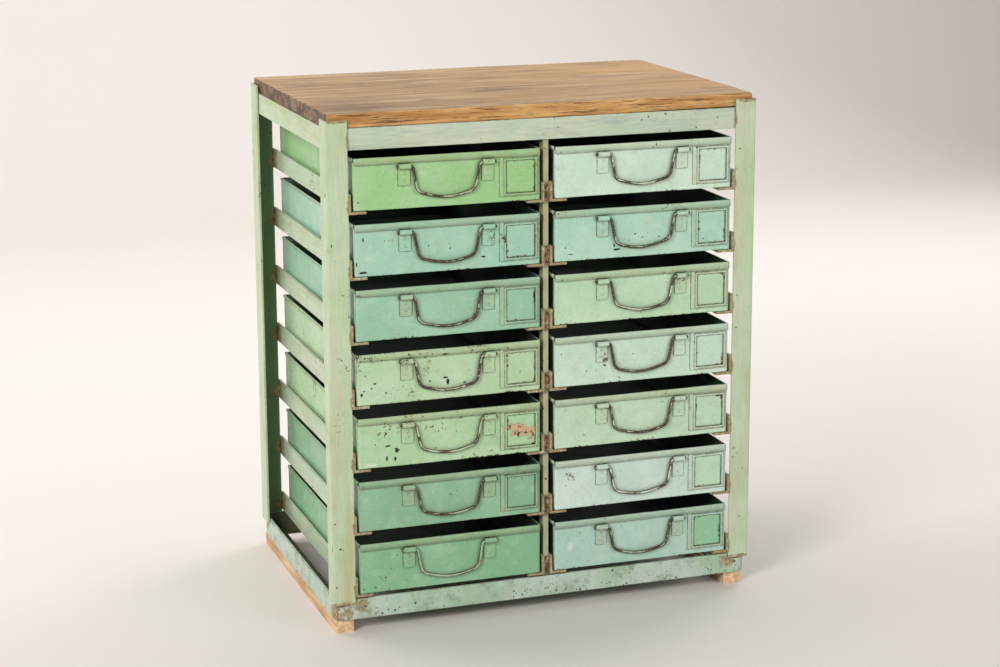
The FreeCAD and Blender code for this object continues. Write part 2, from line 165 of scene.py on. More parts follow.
class Surface:
    """A material under construction: a node tree with the recipes that every finish here shares."""

    def __init__(self, name: str) -> None:
        """Starts a material with one Principled shader.

        Args:
            name: The material's name.
        """
        self.material = bpy.data.materials.new(name)
        self.material.use_nodes = True
        self.tree = self.material.node_tree
        self.shader = self.tree.nodes["Principled BSDF"]

    def add(self, step: Step, *values: Socket | float | str) -> Socket:
        """Adds the node of one step.

        Args:
            step: What the node does.
            values: What its inputs hold, in order; the rest keep the step's own values.

        Returns:
            The output that the step is used for.
        """
        kind, sockets, output, settings = step.value
        inputs = sockets | dict(zip(sockets, values))
        if "Scale" in inputs:
            inputs["Scale"] = per_metre(inputs["Scale"])
        return add_node(self.tree, kind, inputs, **settings).outputs[output]

    def coordinates(self, seed: int, stretch: Sequence[float] = (1, 1, 1)) -> Socket:
        """Object coordinates, moved by the seed and stretched along the axes.

        Args:
            seed: Moves the pattern, so that no two pieces share it.
            stretch: Scale along each axis.

        Returns:
            The coordinates.
        """
        source = add_node(self.tree, "TexCoord")
        moved = add_node(self.tree, "Mapping", {
            "Vector": source.outputs["Object"],
            "Location": (seed * 1.37, seed * 0.71, seed * 2.13),
            "Scale": stretch,
        })
        return moved.outputs["Vector"]

    def edges(self, radius_mm: float) -> Socket:
        """One at the arrises of the piece, nought on its flats.

        Args:
            radius_mm: How far from the arris it reaches.

        Returns:
            The share.
        """
        rounded = add_node(self.tree, "Bevel", {"Radius": radius_mm * MM}, samples=4)
        flat = add_node(self.tree, "NewGeometry")
        agree = add_node(self.tree, "VectorMath", {
            0: rounded.outputs["Normal"], 1: flat.outputs["Normal"],
        }, operation="DOT_PRODUCT")
        return self.add(Step.SPAN, agree.outputs["Value"], 0.995, 0.86)

    def corners(self, reach_mm: float) -> Socket:
        """One deep in joints and corners, nought in the open."""
        open_sky = add_node(self.tree, "AmbientOcclusion", {"Distance": reach_mm * MM}, samples=6)
        return self.add(Step.SPAN, open_sky.outputs["AO"], 0.86, 0.6)

    def facing(self, axis: int, low: float, high: float) -> Socket:
        """One where the surface faces along an axis, from its normal."""
        parts = add_node(self.tree, "SeparateXYZ", {0: add_node(self.tree, "NewGeometry").outputs["Normal"]})
        return self.add(Step.SPAN, parts.outputs[axis], low, high)

    def within(self, zone: Zone) -> Socket:
        """One inside a zone, nought outside it.

        Args:
            zone: The box.

        Returns:
            The share.
        """
        spot = add_node(self.tree, "TexCoord").outputs["Object"]
        above = add_node(self.tree, "VectorMath", {0: spot, 1: zone.low}, operation="SUBTRACT")
        below = add_node(self.tree, "VectorMath", {0: zone.high, 1: spot}, operation="SUBTRACT")
        least = add_node(self.tree, "VectorMath", {0: above.outputs[0], 1: below.outputs[0]},
                         operation="MINIMUM")
        x, y, z = add_node(self.tree, "SeparateXYZ", {0: least.outputs[0]}).outputs
        nearest = self.add(Step.LEAST, self.add(Step.LEAST, x, y), z)
        return self.add(Step.SPAN, nearest, 0.0, zone.blur)

    def near(self, spot: Spot, core: float = 0.2, ragged: float = 0.0) -> Socket:
        """One in the core of a spot, fading to nought at its rim, which may be ragged.

        Args:
            spot: The place.
            core: Distance from the middle, as a share of the reach, up to which it is full.
            ragged: How far the rim is torn, as a share of the reach.

        Returns:
            The share.
        """
        place = add_node(self.tree, "TexCoord").outputs["Object"]
        away = add_node(self.tree, "VectorMath", {0: place, 1: spot.centre}, operation="SUBTRACT").outputs[0]
        if spot.every:
            x, y, z = add_node(self.tree, "SeparateXYZ", {0: away}).outputs
            half = spot.every / 2
            wrapped = add_node(self.tree, "Math", {0: z, 1: half, 2: -half}, operation="WRAP").outputs[0]
            away = add_node(self.tree, "CombineXYZ", {0: x, 1: y, 2: wrapped}).outputs[0]
        scale = tuple(1 / r for r in spot.reach)
        scaled = add_node(self.tree, "VectorMath", {0: away, 1: scale}, operation="MULTIPLY").outputs[0]
        length = add_node(self.tree, "VectorMath", {0: scaled}, operation="LENGTH").outputs["Value"]
        if ragged:
            torn = self.add(Step.TIMES, self.add(Step.PLUS, self.add(Step.CLOUDS, place, 4, 4, 0.7), -0.5),
                            2 * ragged)
            length = self.add(Step.PLUS, length, torn)
        return self.add(Step.SPAN, length, 1.0, core)

    def any_of(self, shares: Sequence[Socket]) -> Socket:
        """The greatest of several shares.

        Args:
            shares: The shares, one at least.

        Returns:
            The greatest.
        """
        most = shares[0]
        for share in shares[1:]:
            most = self.add(Step.MOST, most, share)
        return most

    def finish(self, **inputs) -> bpy.types.Material:
        """Sets or links the shader's own sockets; underscores stand for spaces.

        Args:
            inputs: Socket names, with a value or the output to link.

        Returns:
            The finished material.
        """
        for key, value in inputs.items():
            socket = self.shader.inputs[key.replace("_", " ")]
            if isinstance(value, Socket):
                self.tree.links.new(value, socket)
            else:
                socket.default_value = value
        return self.material


# ---------------------------------------------------------------- finishes

class Streak(Enum):
    """Which way brush marks and runs of dirt go."""

    UPRIGHT = (1.0, 1.0, 0.12)
    ACROSS = (0.12, 1.0, 1.0)
    INWARD = (1.0, 0.12, 1.0)
    NONE = (1.0, 1.0, 1.0)


@dataclass(frozen=True)
class OldEnamel:
    """Brushed oil enamel on mild steel, decades old: soft tone changes, dirt and painted shade in the joints,
    painted shade in shaded zones, chips to rust.
    """

    name: str
    coat: str
    faded: str
    seed: int
    chips: float = 0.3
    specks: float = 0.4
    wear: float = 0.5
    stain: float = 0.3
    rust_share: float = 0.3
    mottle: float = 0.2
    streak: Streak = Streak.NONE
    zones: tuple[Zone, ...] = ()
    rust_spots: tuple[Spot, ...] = ()
    knocks: tuple[Spot, ...] = ()
    scuffs: tuple[Spot, ...] = ()
    pits: Zone | None = None
    foot: float | None = None
    joint_mm: float = 2.6
    stain_colour: str = "#b3a677"
    mottle_colour: str = "#93a79f"
    joint_grime_and_shade: str = "#51482f"
    rust: str = "#8a6a46"
    rust_deep: str = "#7a5a3a"
    bare: str = "#2f261c"

    def build(self) -> bpy.types.Material:
        """Makes the enamel's material.

        Returns:
            The material, with colour, roughness and relief from its nodes.
        """
        surface = Surface(self.name)
        add = surface.add
        where = surface.coordinates(self.seed)
        brushed = surface.coordinates(self.seed + 5, self.streak.value)
        colour = self.film(surface, where, brushed)
        for zone in self.zones:
            # Painted shade: inside each zone the colour turns darker, dusty and uneven, where the piece lies
            # in shadow.
            old = add(Step.BLEND, add(Step.SPAN, add(Step.CLOUDS, where, 30, 6, 0.7), 0.4, 0.65), zone.colour,
                      toned(zone.colour, "#8c8a6c", 0.25))
            colour = add(Step.BLEND, surface.within(zone), colour, old)
        # Painted shade from ambient occlusion: a broad soft darkening in hollows, and a fine dark line where
        # two plates meet that is part old dirt, part painted shade.
        soft = add(Step.TIMES, surface.corners(8), 0.22)
        colour = add(Step.BLEND, soft, colour, "#8f8c68")
        joint = surface.corners(self.joint_mm)
        broken = add(Step.SPAN, add(Step.CLOUDS, where, 8, 3), 0.34, 0.54, 0.12, 0.75)
        colour = add(Step.BLEND, add(Step.TIMES, joint, broken), colour, self.joint_grime_and_shade)
        if self.rust_spots:
            # Rust has crept out from the welds and cut ends: ochre at the rim, brown in the middle.
            reach = surface.any_of([surface.near(spot) for spot in self.rust_spots])
            uneven = add(Step.SPAN, add(Step.CLOUDS, where, 9, 7, 0.72), 0.32, 0.66, 0.25, 1.7)
            spread = add(Step.SPAN, add(Step.TIMES, reach, uneven), 0.26, 0.74, 0.0, 0.88)
            tone = add(Step.SPAN, add(Step.CLOUDS, where, 6, 6, 0.72), 0.36, 0.62)
            colour = add(Step.BLEND, spread, colour, add(Step.BLEND, tone, self.rust_deep, "#ab9a70"))
        halo, bare = self.damage(surface, where)
        colour = add(Step.BLEND, halo, colour, self.rust)
        colour = add(Step.BLEND, bare, colour, self.bare)
        dull = add(Step.SPAN, add(Step.CLOUDS, brushed, 18, 4), 0.3, 0.7, 0.3, 0.5)
        matt = add(Step.PLUS, dull, add(Step.TIMES, bare, 0.35))
        # Brush marks stand up a few hundredths of a millimetre; a chip is as deep as the film.
        relief = add(Step.TIMES, add(Step.CLOUDS, brushed, 2.4, 2), 0.2)
        relief = add(Step.PLUS, relief, add(Step.CLOUDS, where, 28, 2))
        relief = add(Step.MINUS, relief, add(Step.TIMES, bare, 0.8))
        normal = add(Step.RELIEF, relief, 0.13 * MM)
        return surface.finish(Normal=normal, Base_Color=colour, Roughness=matt, IOR=1.5)

    def film(self, surface: Surface, where: Socket,
             brushed: Socket) -> Socket:
        """Mixes the colour of the whole paint film.

        Args:
            surface: The material under construction.
            where: Plain coordinates.
            brushed: Coordinates drawn out along the brush marks.

        Returns:
            The film's colour.
        """
        add = surface.add
        # Two coats of slightly different tone show through each other in patches a hand wide.
        colour = add(Step.BLEND, add(Step.SPAN, add(Step.CLOUDS, where, 85, 3), 0.36, 0.64), self.coat,
                     self.faded)
        # Chalky places and thumb marks run along the brush marks.
        rubbed = add(Step.SPAN, add(Step.CLOUDS, brushed, 26, 5, 0.6), 0.5, 0.8, 0.0, 0.22)
        colour = add(Step.BLEND, rubbed, colour, "#e4eddc")
        for scuff in self.scuffs:
            pale = add(Step.TIMES, surface.near(scuff, 0.3, 0.45), 0.6)
            colour = add(Step.BLEND, pale, colour, "#dfe8de")
        # Tobacco-coloured stains and grey mottling sit in the film.
        stained = add(Step.SPAN, add(Step.CLOUDS, brushed, 36, 7, 0.66), 0.5, 0.74, 0.0, self.stain)
        colour = add(Step.BLEND, stained, colour, self.stain_colour)
        cloudy = add(Step.SPAN, add(Step.CLOUDS, surface.coordinates(self.seed + 9, self.streak.value), 22, 8,
                                    0.75), 0.5, 0.68, 0.0, self.mottle)
        colour = add(Step.BLEND, cloudy, colour, self.mottle_colour)
        fine = add(Step.SPAN, add(Step.CLOUDS, brushed, 4, 6, 0.75), 0.35, 0.65, 0.94, 1.04)
        return add(Step.SHADE, 1.0, colour, add_node(surface.tree, "CombineXYZ",
                                                     {0: fine, 1: fine, 2: fine}).outputs[0])

    def damage(self, surface: Surface,
               where: Socket) -> tuple[Socket, Socket]:
        """Finds where the film is stained by rust and where it has gone.

        Args:
            surface: The material under construction.
            where: Plain coordinates.

        Returns:
            Shares of rust halo and of bare steel.
        """
        add = surface.add
        # Chips gather in patches and along the arrises, where knocks break the film.
        patch = add(Step.TIMES, add(Step.CLOUDS, where, 60, 2), 0.42)
        fine = add(Step.TIMES, add(Step.CLOUDS, where, 6, 6, 0.66), 0.58)
        edge = surface.edges(1.5)
        if self.foot is not None:
            height = add_node(surface.tree, "SeparateXYZ",
                              {0: add_node(surface.tree, "TexCoord").outputs["Object"]})
            low = add(Step.SPAN, height.outputs[2], self.foot + 3.5 * MM, self.foot + 0.5 * MM)
            edge = add(Step.MOST, edge, low)
        worn = add(Step.TIMES, edge, 0.17 * self.wear)
        total = add(Step.PLUS, add(Step.PLUS, patch, fine), worn)
        limit = 0.672 - 0.075 * self.chips
        halo = add(Step.SPAN, total, limit - 0.05, limit, 0.0, 0.25 + 0.6 * self.rust_share)
        chipped = add(Step.SPAN, total, limit, limit + 0.01)
        # Pinholes and single knocks, one to two millimetres wide.
        spots = add_node(surface.tree, "TexVoronoi", {"Vector": where, "Scale": per_metre(13)})
        dice = add_node(surface.tree, "SeparateColor", {0: spots.outputs["Color"]})
        size = add(Step.SPAN, dice.outputs[1], 0.3, 1.0, 0.04, 0.075 + 0.1 * self.specks)
        inside = add(Step.SPAN, add(Step.MINUS, size, spots.outputs["Distance"]), -0.01, 0.02)
        share = 0.02 + 0.42 * self.specks ** 2
        picked = add(Step.SPAN, dice.outputs[0], 1.0 - share, 1.005 - share)
        bare = [chipped, add(Step.TIMES, inside, picked)]
        bare += [surface.near(spot, 0.7, 0.9) for spot in self.knocks]
        if self.pits:
            bare.append(self.pitting(surface, where))
        return halo, surface.any_of(bare)

    def pitting(self, surface: Surface, where: Socket) -> Socket:
        """Black pits crowded together where the metal stood in the wet.

        Args:
            surface: The material under construction.
            where: Plain coordinates.

        Returns:
            Share of pitted steel.
        """
        add = surface.add
        crowd = add(Step.SPAN, add(Step.CLOUDS, where, 45, 3), 0.4, 0.6, -0.12, 0.1)
        holes = add_node(surface.tree, "TexVoronoi", {"Vector": where, "Scale": per_metre(5.5)})
        dice = add_node(surface.tree, "SeparateColor", {0: holes.outputs["Color"]})
        size = add(Step.PLUS, add(Step.SPAN, dice.outputs[0], 0.3, 1.0, -0.05, 0.26), crowd)
        inside = add(Step.SPAN, add(Step.MINUS, size, holes.outputs["Distance"]), -0.02, 0.03)
        return add(Step.TIMES, inside, surface.within(self.pits))


@dataclass(frozen=True)
class DarkPrimerAndShade:
    """Bottle-green primer inside the trays, dull and dusty, and made darker to stand in for the shade inside
    them.
    """

    name: str = "dark_primer_and_shade"
    seed: int = 31

    def build(self) -> bpy.types.Material:
        """Makes the primer's material.

        Returns:
            The material.
        """
        surface = Surface(self.name)
        add = surface.add
        where = surface.coordinates(self.seed)
        dusty = add(Step.SPAN, add(Step.CLOUDS, where, 70, 5, 0.65), 0.35, 0.7, 0.0, 0.5)
        colour = add(Step.BLEND, dusty, "#33443a", "#4d5f51")
        scuffs = add(Step.SPAN, add(Step.CLOUDS, where, 9, 6, 0.7), 0.56, 0.7, 0.0, 0.5)
        colour = add(Step.BLEND, scuffs, colour, "#3b4138")
        normal = add(Step.RELIEF, add(Step.CLOUDS, where, 5, 4), 0.15 * MM)
        return surface.finish(Normal=normal, Base_Color=colour, Roughness=0.6, IOR=1.5)


@dataclass(frozen=True)
class WornWire:
    """Drawn steel wire, once painted with its tray: hands have worn it to brown steel with pale scraps,
    painted paler on top and outward and darker below as light and shade.
    """

    name: str
    paint: str
    seed: int
    paint_left: float = 0.5
    steel: str = "#453a2c"
    bright: str = "#8f8a72"

    def build(self) -> bpy.types.Material:
        """Makes the wire's material.

        Returns:
            The material.
        """
        surface = Surface(self.name)
        add = surface.add
        where = surface.coordinates(self.seed)
        along = surface.coordinates(self.seed, (0.3, 1.0, 0.5))
        polished = add(Step.SPAN, add(Step.CLOUDS, where, 3.2, 3), 0.5, 0.66, 0.0, 0.8)
        colour = add(Step.BLEND, polished, self.steel, self.bright)
        # Paint scraps gather on the outward side and the top, and the underside and flanks stay dark: painted
        # light and shade on the wire, over real patches of worn paint.
        turned = add_node(surface.tree, "SeparateXYZ",
                          {0: add_node(surface.tree, "TexCoord").outputs["Normal"]})
        outer = add(Step.SPAN, turned.outputs[1], -0.55, -0.92, -0.2, 0.06)
        upper = add(Step.SPAN, turned.outputs[2], -0.3, 0.5, -0.05, 0.05)
        level = add(Step.PLUS, add(Step.CLOUDS, along, 9, 5, 0.62), add(Step.PLUS, outer, upper))
        scraps = add(Step.SPAN, level, 0.65 - 0.22 * self.paint_left, 0.68 - 0.22 * self.paint_left)
        film = add(Step.BLEND, add(Step.SPAN, add(Step.CLOUDS, where, 12, 4), 0.4, 0.65, 0.0, 0.6),
                   self.paint, "#a9a888")
        colour = add(Step.BLEND, scraps, colour, film)
        matt = add(Step.SPAN, add(Step.CLOUDS, where, 5, 3), 0.3, 0.7, 0.3, 0.5)
        normal = add(Step.RELIEF, add(Step.PLUS, scraps, add(Step.CLOUDS, where, 2, 3)), 0.15 * MM)
        metal = add(Step.SPAN, scraps, 0.4, 0.6, 0.35, 0.0)
        return surface.finish(Normal=normal, Base_Color=colour, Metallic=metal, Roughness=matt)


@dataclass(frozen=True)
class WeldRust:
    """Arc-weld beads left bare: lumpy, scaled with brown and orange rust."""

    name: str = "bare_weld_rust"
    seed: int = 3

    def build(self) -> bpy.types.Material:
        """Makes the rust's material.

        Returns:
            The material.
        """
        surface = Surface(self.name)
        add = surface.add
        where = surface.coordinates(self.seed)
        orange = add(Step.SPAN, add(Step.CLOUDS, where, 5, 4, 0.6), 0.4, 0.62)
        colour = add(Step.BLEND, orange, "#4f3b28", "#8d6b41")
        dusty = add(Step.SPAN, add(Step.CLOUDS, where, 9, 3), 0.5, 0.66, 0.0, 0.75)
        colour = add(Step.BLEND, dusty, colour, "#b9ab82")
        normal = add(Step.RELIEF, add(Step.CLOUDS, where, 1.6, 4, 0.65), 0.5 * MM)
        return surface.finish(Normal=normal, Base_Color=colour, Roughness=0.85)


@dataclass(frozen=True)
class OldBoards:
    """Reclaimed softwood, waxed: long grain, worn grey-brown on top, warm orange where it was sawn afresh."""

    name: str
    seed: int
    dark: str = "#70543a"
    mid: str = "#a48055"
    light: str = "#c9a576"
    stain: float = 0.7

    def build(self) -> bpy.types.Material:
        """Makes the boards' material, with the grain along X.

        Returns:
            The material.
        """
        surface = Surface(self.name)
        add = surface.add
        where = surface.coordinates(self.seed)
        along = surface.coordinates(self.seed, (0.045, 1.0, 1.0))
        drift = add_node(surface.tree, "TexNoise", {
            "Vector": surface.coordinates(self.seed, (0.3, 1.0, 1.0)), "Scale": per_metre(150), "Detail": 2.0,
        })
        bent = add_node(surface.tree, "VectorMath", {
            0: drift.outputs["Color"], 1: (0.0, 0.05, 0.05), 2: along,
        }, operation="MULTIPLY_ADD")
        # Growth lines about a centimetre apart, drawn out along the board, with finer fibres over them.
        rings = add(Step.CLOUDS, bent.outputs[0], 13, 6, 0.72)
        fibres = add(Step.CLOUDS, along, 2.2, 4, 0.65)
        colour = add(Step.BLEND, add(Step.SPAN, rings, 0.36, 0.62), self.dark, self.light)
        broad = add(Step.SPAN, add(Step.CLOUDS, surface.coordinates(self.seed + 1, (0.4, 1, 1)), 110, 4, 0.6),
                    0.35, 0.65, 0.15, 0.8)
        colour = add(Step.BLEND, broad, colour, self.mid)
        colour = add(Step.BLEND, add(Step.SPAN, fibres, 0.5, 0.72, 0.0, 0.5), colour, self.dark)
        # Spilt oil and boxes have left dark patches that follow the grain.
        stains = add(Step.SPAN, add(Step.CLOUDS, surface.coordinates(self.seed + 3, (0.3, 1, 1)), 52, 6,
                                    0.72), 0.53, 0.7, 0.0, self.stain)
        colour = add(Step.BLEND, stains, colour, "#4f3a2d")
        # Sun has warmed the right-hand half; something dark was spilt at the front left.
        x = add_node(surface.tree, "SeparateXYZ", {0: add_node(surface.tree,
                                                               "TexCoord").outputs["Object"]}).outputs[0]
        sunny = add(Step.TIMES, add(Step.SPAN, x, -0.15, 0.35, 0.0, 0.75), broad)
        colour = add(Step.BLEND, sunny, colour, "#c4935c")
        spilt = add(Step.TIMES, surface.near(Spot((-0.33, -0.2, 0.925), (0.13, 0.08, 0.1)), 0.1, 0.6), 0.55)
        colour = add(Step.BLEND, spilt, colour, "#5f4731")
        # Painted shade: dark brown in hollows and seams, from ambient occlusion.
        colour = add(Step.BLEND, surface.corners(4), colour, "#3d2c1f")
        # The front edge was sawn afresh: paler and more orange than the top.
        warm = add(Step.BLEND, add(Step.SPAN, rings, 0.34, 0.64), "#b07a42", "#e2b472")
        warm = add(Step.BLEND, add(Step.SPAN, fibres, 0.5, 0.78, 0.0, 0.5), warm, "#7d4b26")
        cracks = add(Step.CLOUDS, surface.coordinates(self.seed + 4, (0.05, 1.0, 1.0)), 4.5, 6, 0.75)
        warm = add(Step.BLEND, add(Step.SPAN, cracks, 0.54, 0.6, 0.0, 0.85), warm, "#55351c")
        colour = add(Step.BLEND, surface.facing(1, -0.6, -0.85), colour, warm)
        # End grain drinks dirt and goes dark.
        tall = add(Step.CLOUDS, surface.coordinates(self.seed + 6, (1.0, 0.6, 1.0)), 20, 8, 0.74)
        ends = add(Step.BLEND, add(Step.SPAN, tall, 0.42, 0.6), "#3b2e24", "#86694b")
        ends = add(Step.BLEND, add(Step.SPAN, add(Step.CLOUDS, where, 11, 4, 0.6), 0.56, 0.66, 0.0, 0.8),
                   ends, "#b5793f")
        colour = add(Step.BLEND, surface.facing(0, -0.5, -0.8), colour, ends)
        # Arrises are rubbed pale.
        rubbed = add(Step.TIMES, surface.edges(3),
                     add(Step.SPAN, add(Step.CLOUDS, where, 30, 3), 0.4, 0.6, 0.1, 0.7))
        colour = add(Step.BLEND, rubbed, colour, "#d3a877")
        matt = add(Step.SPAN, rings, 0.3, 0.7, 0.6, 0.4)
        relief = add(Step.PLUS, add(Step.TIMES, rings, 0.6), add(Step.TIMES, fibres, 0.5))
        normal = add(Step.RELIEF, relief, 0.5 * MM)
        return surface.finish(Normal=normal, Base_Color=colour, Roughness=matt, IOR=1.46)


@dataclass(frozen=True)
class NewPine:
    """Planed pine batten, unfinished: pale, with fine darker growth lines along Y."""

    name: str = "new_pine"
    seed: int = 8

    def build(self) -> bpy.types.Material:
        """Makes the pine's material.

        Returns:
            The material.
        """
        surface = Surface(self.name)
        add = surface.add
        along = surface.coordinates(self.seed, (1.0, 0.05, 1.0))
        rings = add(Step.CLOUDS, along, 6, 3, 0.5)
        colour = add(Step.BLEND, add(Step.SPAN, rings, 0.35, 0.65), "#cda377", "#e8c9a2")
        knots = add(Step.SPAN, add(Step.CLOUDS, surface.coordinates(self.seed, (1, 0.5, 1)), 40, 2), 0.62,
                    0.72, 0.0, 0.6)
        colour = add(Step.BLEND, knots, colour, "#b98250")
        weather = add(Step.SPAN, add(Step.CLOUDS, surface.coordinates(self.seed + 2, (1, 0.4, 1)), 60, 4),
                      0.42, 0.62, 0.0, 0.55)
        outer = surface.facing(0, -0.5, -0.9)
        colour = add(Step.BLEND, add(Step.TIMES, weather, outer), colour, "#a97f50")
        normal = add(Step.RELIEF, add(Step.CLOUDS, along, 1.5, 3), 0.2 * MM)
        return surface.finish(Normal=normal, Base_Color=colour, Roughness=0.62, IOR=1.46)


@dataclass(frozen=True)
class ZincScrew:
    """Zinc-plated wood screw: pale grey, a little mottled."""

    name: str = "zinc_screw"

    def build(self) -> bpy.types.Material:
        """Makes the zinc's material.

        Returns:
            The material.
        """
        surface = Surface(self.name)
        add = surface.add
        where = surface.coordinates(1)
        bloom = add(Step.SPAN, add(Step.CLOUDS, where, 2.5, 3), 0.35, 0.65)
        colour = add(Step.BLEND, bloom, "#a7a59c", "#7f7a6c")
        matt = add(Step.SPAN, add(Step.CLOUDS, where, 1.4, 2), 0.3, 0.7, 0.35, 0.6)
        return surface.finish(Base_Color=colour, Metallic=1.0, Roughness=matt)


@dataclass(frozen=True)
class OldPaper:
    """Rest of a gummed paper label: tan, with pink and black remains and no lettering."""

    name: str = "torn_label"

    def build(self) -> bpy.types.Material:
        """Makes the paper's material.

        Returns:
            The material.
        """
        surface = Surface(self.name)
        add = surface.add
        where = surface.coordinates(12)
        faded = add(Step.SPAN, add(Step.CLOUDS, where, 9, 4, 0.65), 0.42, 0.6)
        colour = add(Step.BLEND, faded, "#c7ad84", "#c9a386")
        black = add(Step.SPAN, add(Step.CLOUDS, where, 9, 4, 0.7), 0.54, 0.57)
        colour = add(Step.BLEND, black, colour, "#3b322a")
        normal = add(Step.RELIEF, add(Step.CLOUDS, where, 1.0, 3), 0.1 * MM)
        return surface.finish(Normal=normal, Base_Color=colour, Roughness=0.8)


@dataclass(frozen=True)
class StudioPaper:
    """Matt off-white paper of the studio floor."""

    name: str = "studio_paper"
    tone: str = "#ded8d2"

    def build(self) -> bpy.types.Material:
        """Makes the paper's material."""
        surface = Surface(self.name)
        return surface.finish(Base_Color=linear(self.tone), Roughness=0.9)


@dataclass(frozen=True)
class TrayLook:
    """What sets one tray's old paint apart from the next."""

    coat: str
    faded: str
    chips: float
    specks: float
    stain: float
    card: str | None = None
    wire_paint: float = 0.5
    marks: tuple[tuple[float, float, float, float], ...] = ()
    scuffs: tuple[tuple[float, float, float, float], ...] = ()


TRAY_LOOKS = {
    ("left", 1): TrayLook("#99c685", "#a3cd93", 0.15, 0.25, 0.1, None, 0.5,
        ((8, 15, 2, 1.5), (88, 38, 1, 1)),
        ((268, 48, 5, 20), (262, 30, 3, 9))),
    ("left", 2): TrayLook("#9fcbb3", "#abceb8", 0.3, 0.5, 0.2, None, 0.2,
        ((15, 64, 1.6, 4), (54, 60, 0.8, 1.6), (61, 60, 0.8, 1.6), (67, 61, 0.8, 1.6), (14, 7, 9, 2.4),
         (3, 22, 1.4, 5), (170, 48, 1.2, 1.2), (232, 20, 5, 2)),
        ()),
    ("left", 3): TrayLook("#96c3a5", "#a2caaf", 0.35, 0.4, 0.2, None, 0.3,
        ((5, 82, 5, 1.2), (300, 14, 3, 1.5)),
        ()),
    ("left", 4): TrayLook("#b3d1a6", "#bdd6b3", 0.75, 0.95, 0.25, None, 0.3,
        ((165, 30, 3.6, 6.5), (161, 38, 5, 2), (159, 81, 8, 1.6), (32, 38, 4, 1.6), (8, 19, 2.4, 4),
         (26, 30, 2, 1.5), (232, 52, 3, 1.5), (52, 20, 1.5, 2.5), (12, 26, 2.5, 1.5), (196, 26, 3, 2),
         (178, 14, 3, 1.5)),
        ()),
    ("left", 5): TrayLook("#accea0", "#b7d6ac", 0.7, 0.7, 0.25, None, 0.55,
        ((70, 29, 5, 4.5), (52, 15, 2.2, 5), (67, 13, 2.2, 5), (54, 38, 6, 2), (82, 43, 2.2, 2.2),
         (31, 42, 1.2, 1.4), (147, 56, 1.2, 2.2), (154, 80, 2.4, 1.4), (208, 80, 2.6, 1.2),
         (246, 34, 1.5, 1.5)),
        ((22, 6, 18, 5),)),
    ("left", 6): TrayLook("#85b390", "#91bc99", 0.3, 0.3, 0.15, None, 0.3,
        ((6, 82, 2, 1), (310, 8, 2, 1)),
        ()),
    ("left", 7): TrayLook("#83b78b", "#90be97", 0.25, 0.25, 0.12, None, 0.85,
        ((6, 8, 1.5, 1.5), (84, 16, 1.2, 1.2)),
        ((276, 44, 0.8, 9), (271, 47, 0.8, 7))),
    ("right", 1): TrayLook("#c7e0cc", "#d2e6d4", 0.2, 0.25, 0.15, None, 0.5,
        ((190, 85, 1.2, 4), (184, 81, 1.5, 1.5), (10, 82, 3, 1), (312, 14, 3, 1.5)),
        ()),
    ("right", 2): TrayLook("#a8d2bc", "#b5d8c3", 0.35, 0.55, 0.2, None, 0.4,
        ((117, 15, 8, 2.2), (112, 22, 2, 3), (152, 41, 1.8, 1.5), (166, 34, 1.8, 1.5), (198, 33, 3, 1.3),
         (176, 42, 1.3, 1.3), (210, 29, 1.5, 1.5), (140, 30, 1.5, 1.2), (20, 24, 1, 2), (30, 12, 6, 1)),
        ((292, 13, 24, 3), (270, 17, 8, 1.5))),
    ("right", 3): TrayLook("#b5d6b0", "#c1dcbd", 0.35, 0.35, 0.2, None, 0.5,
        ((12, 82, 3, 1), (318, 14, 3, 1.5)),
        ()),
    ("right", 4): TrayLook("#c4decb", "#cee3d0", 0.15, 0.45, 0.2, None, 0.0,
        ((60, 26, 1, 2), (12, 60, 1, 2), (150, 50, 1, 1.6)),
        ()),
    ("right", 5): TrayLook("#bcd8b9", "#c7dec2", 0.35, 0.35, 0.2, None, 0.2,
        ((56, 22, 2, 1), (20, 70, 1, 1)),
        ((120, 22, 10, 4),)),
    ("right", 6): TrayLook("#c6dcd0", "#d1e3d7", 0.12, 0.4, 0.15, "#bcdbbc", 0.65,
        ((22, 44, 1, 1.5), (330, 30, 2, 2)),
        ()),
    ("right", 7): TrayLook("#a8cdbe", "#b4d3c5", 0.3, 0.3, 0.15, "#8fc5a0", 0.2,
        ((26, 60, 1, 1), (130, 70, 2, 1)),
        ((30, 42, 7, 12),)),
}


# ---------------------------------------------------------------- mesh tools

class Lay(Enum):
    """Axes that a strip's run and the two ordinates of its section go along."""

    ALONG_X = (0, 1, 2)
    ALONG_Y = (1, 0, 2)
    ALONG_Z = (2, 0, 1)


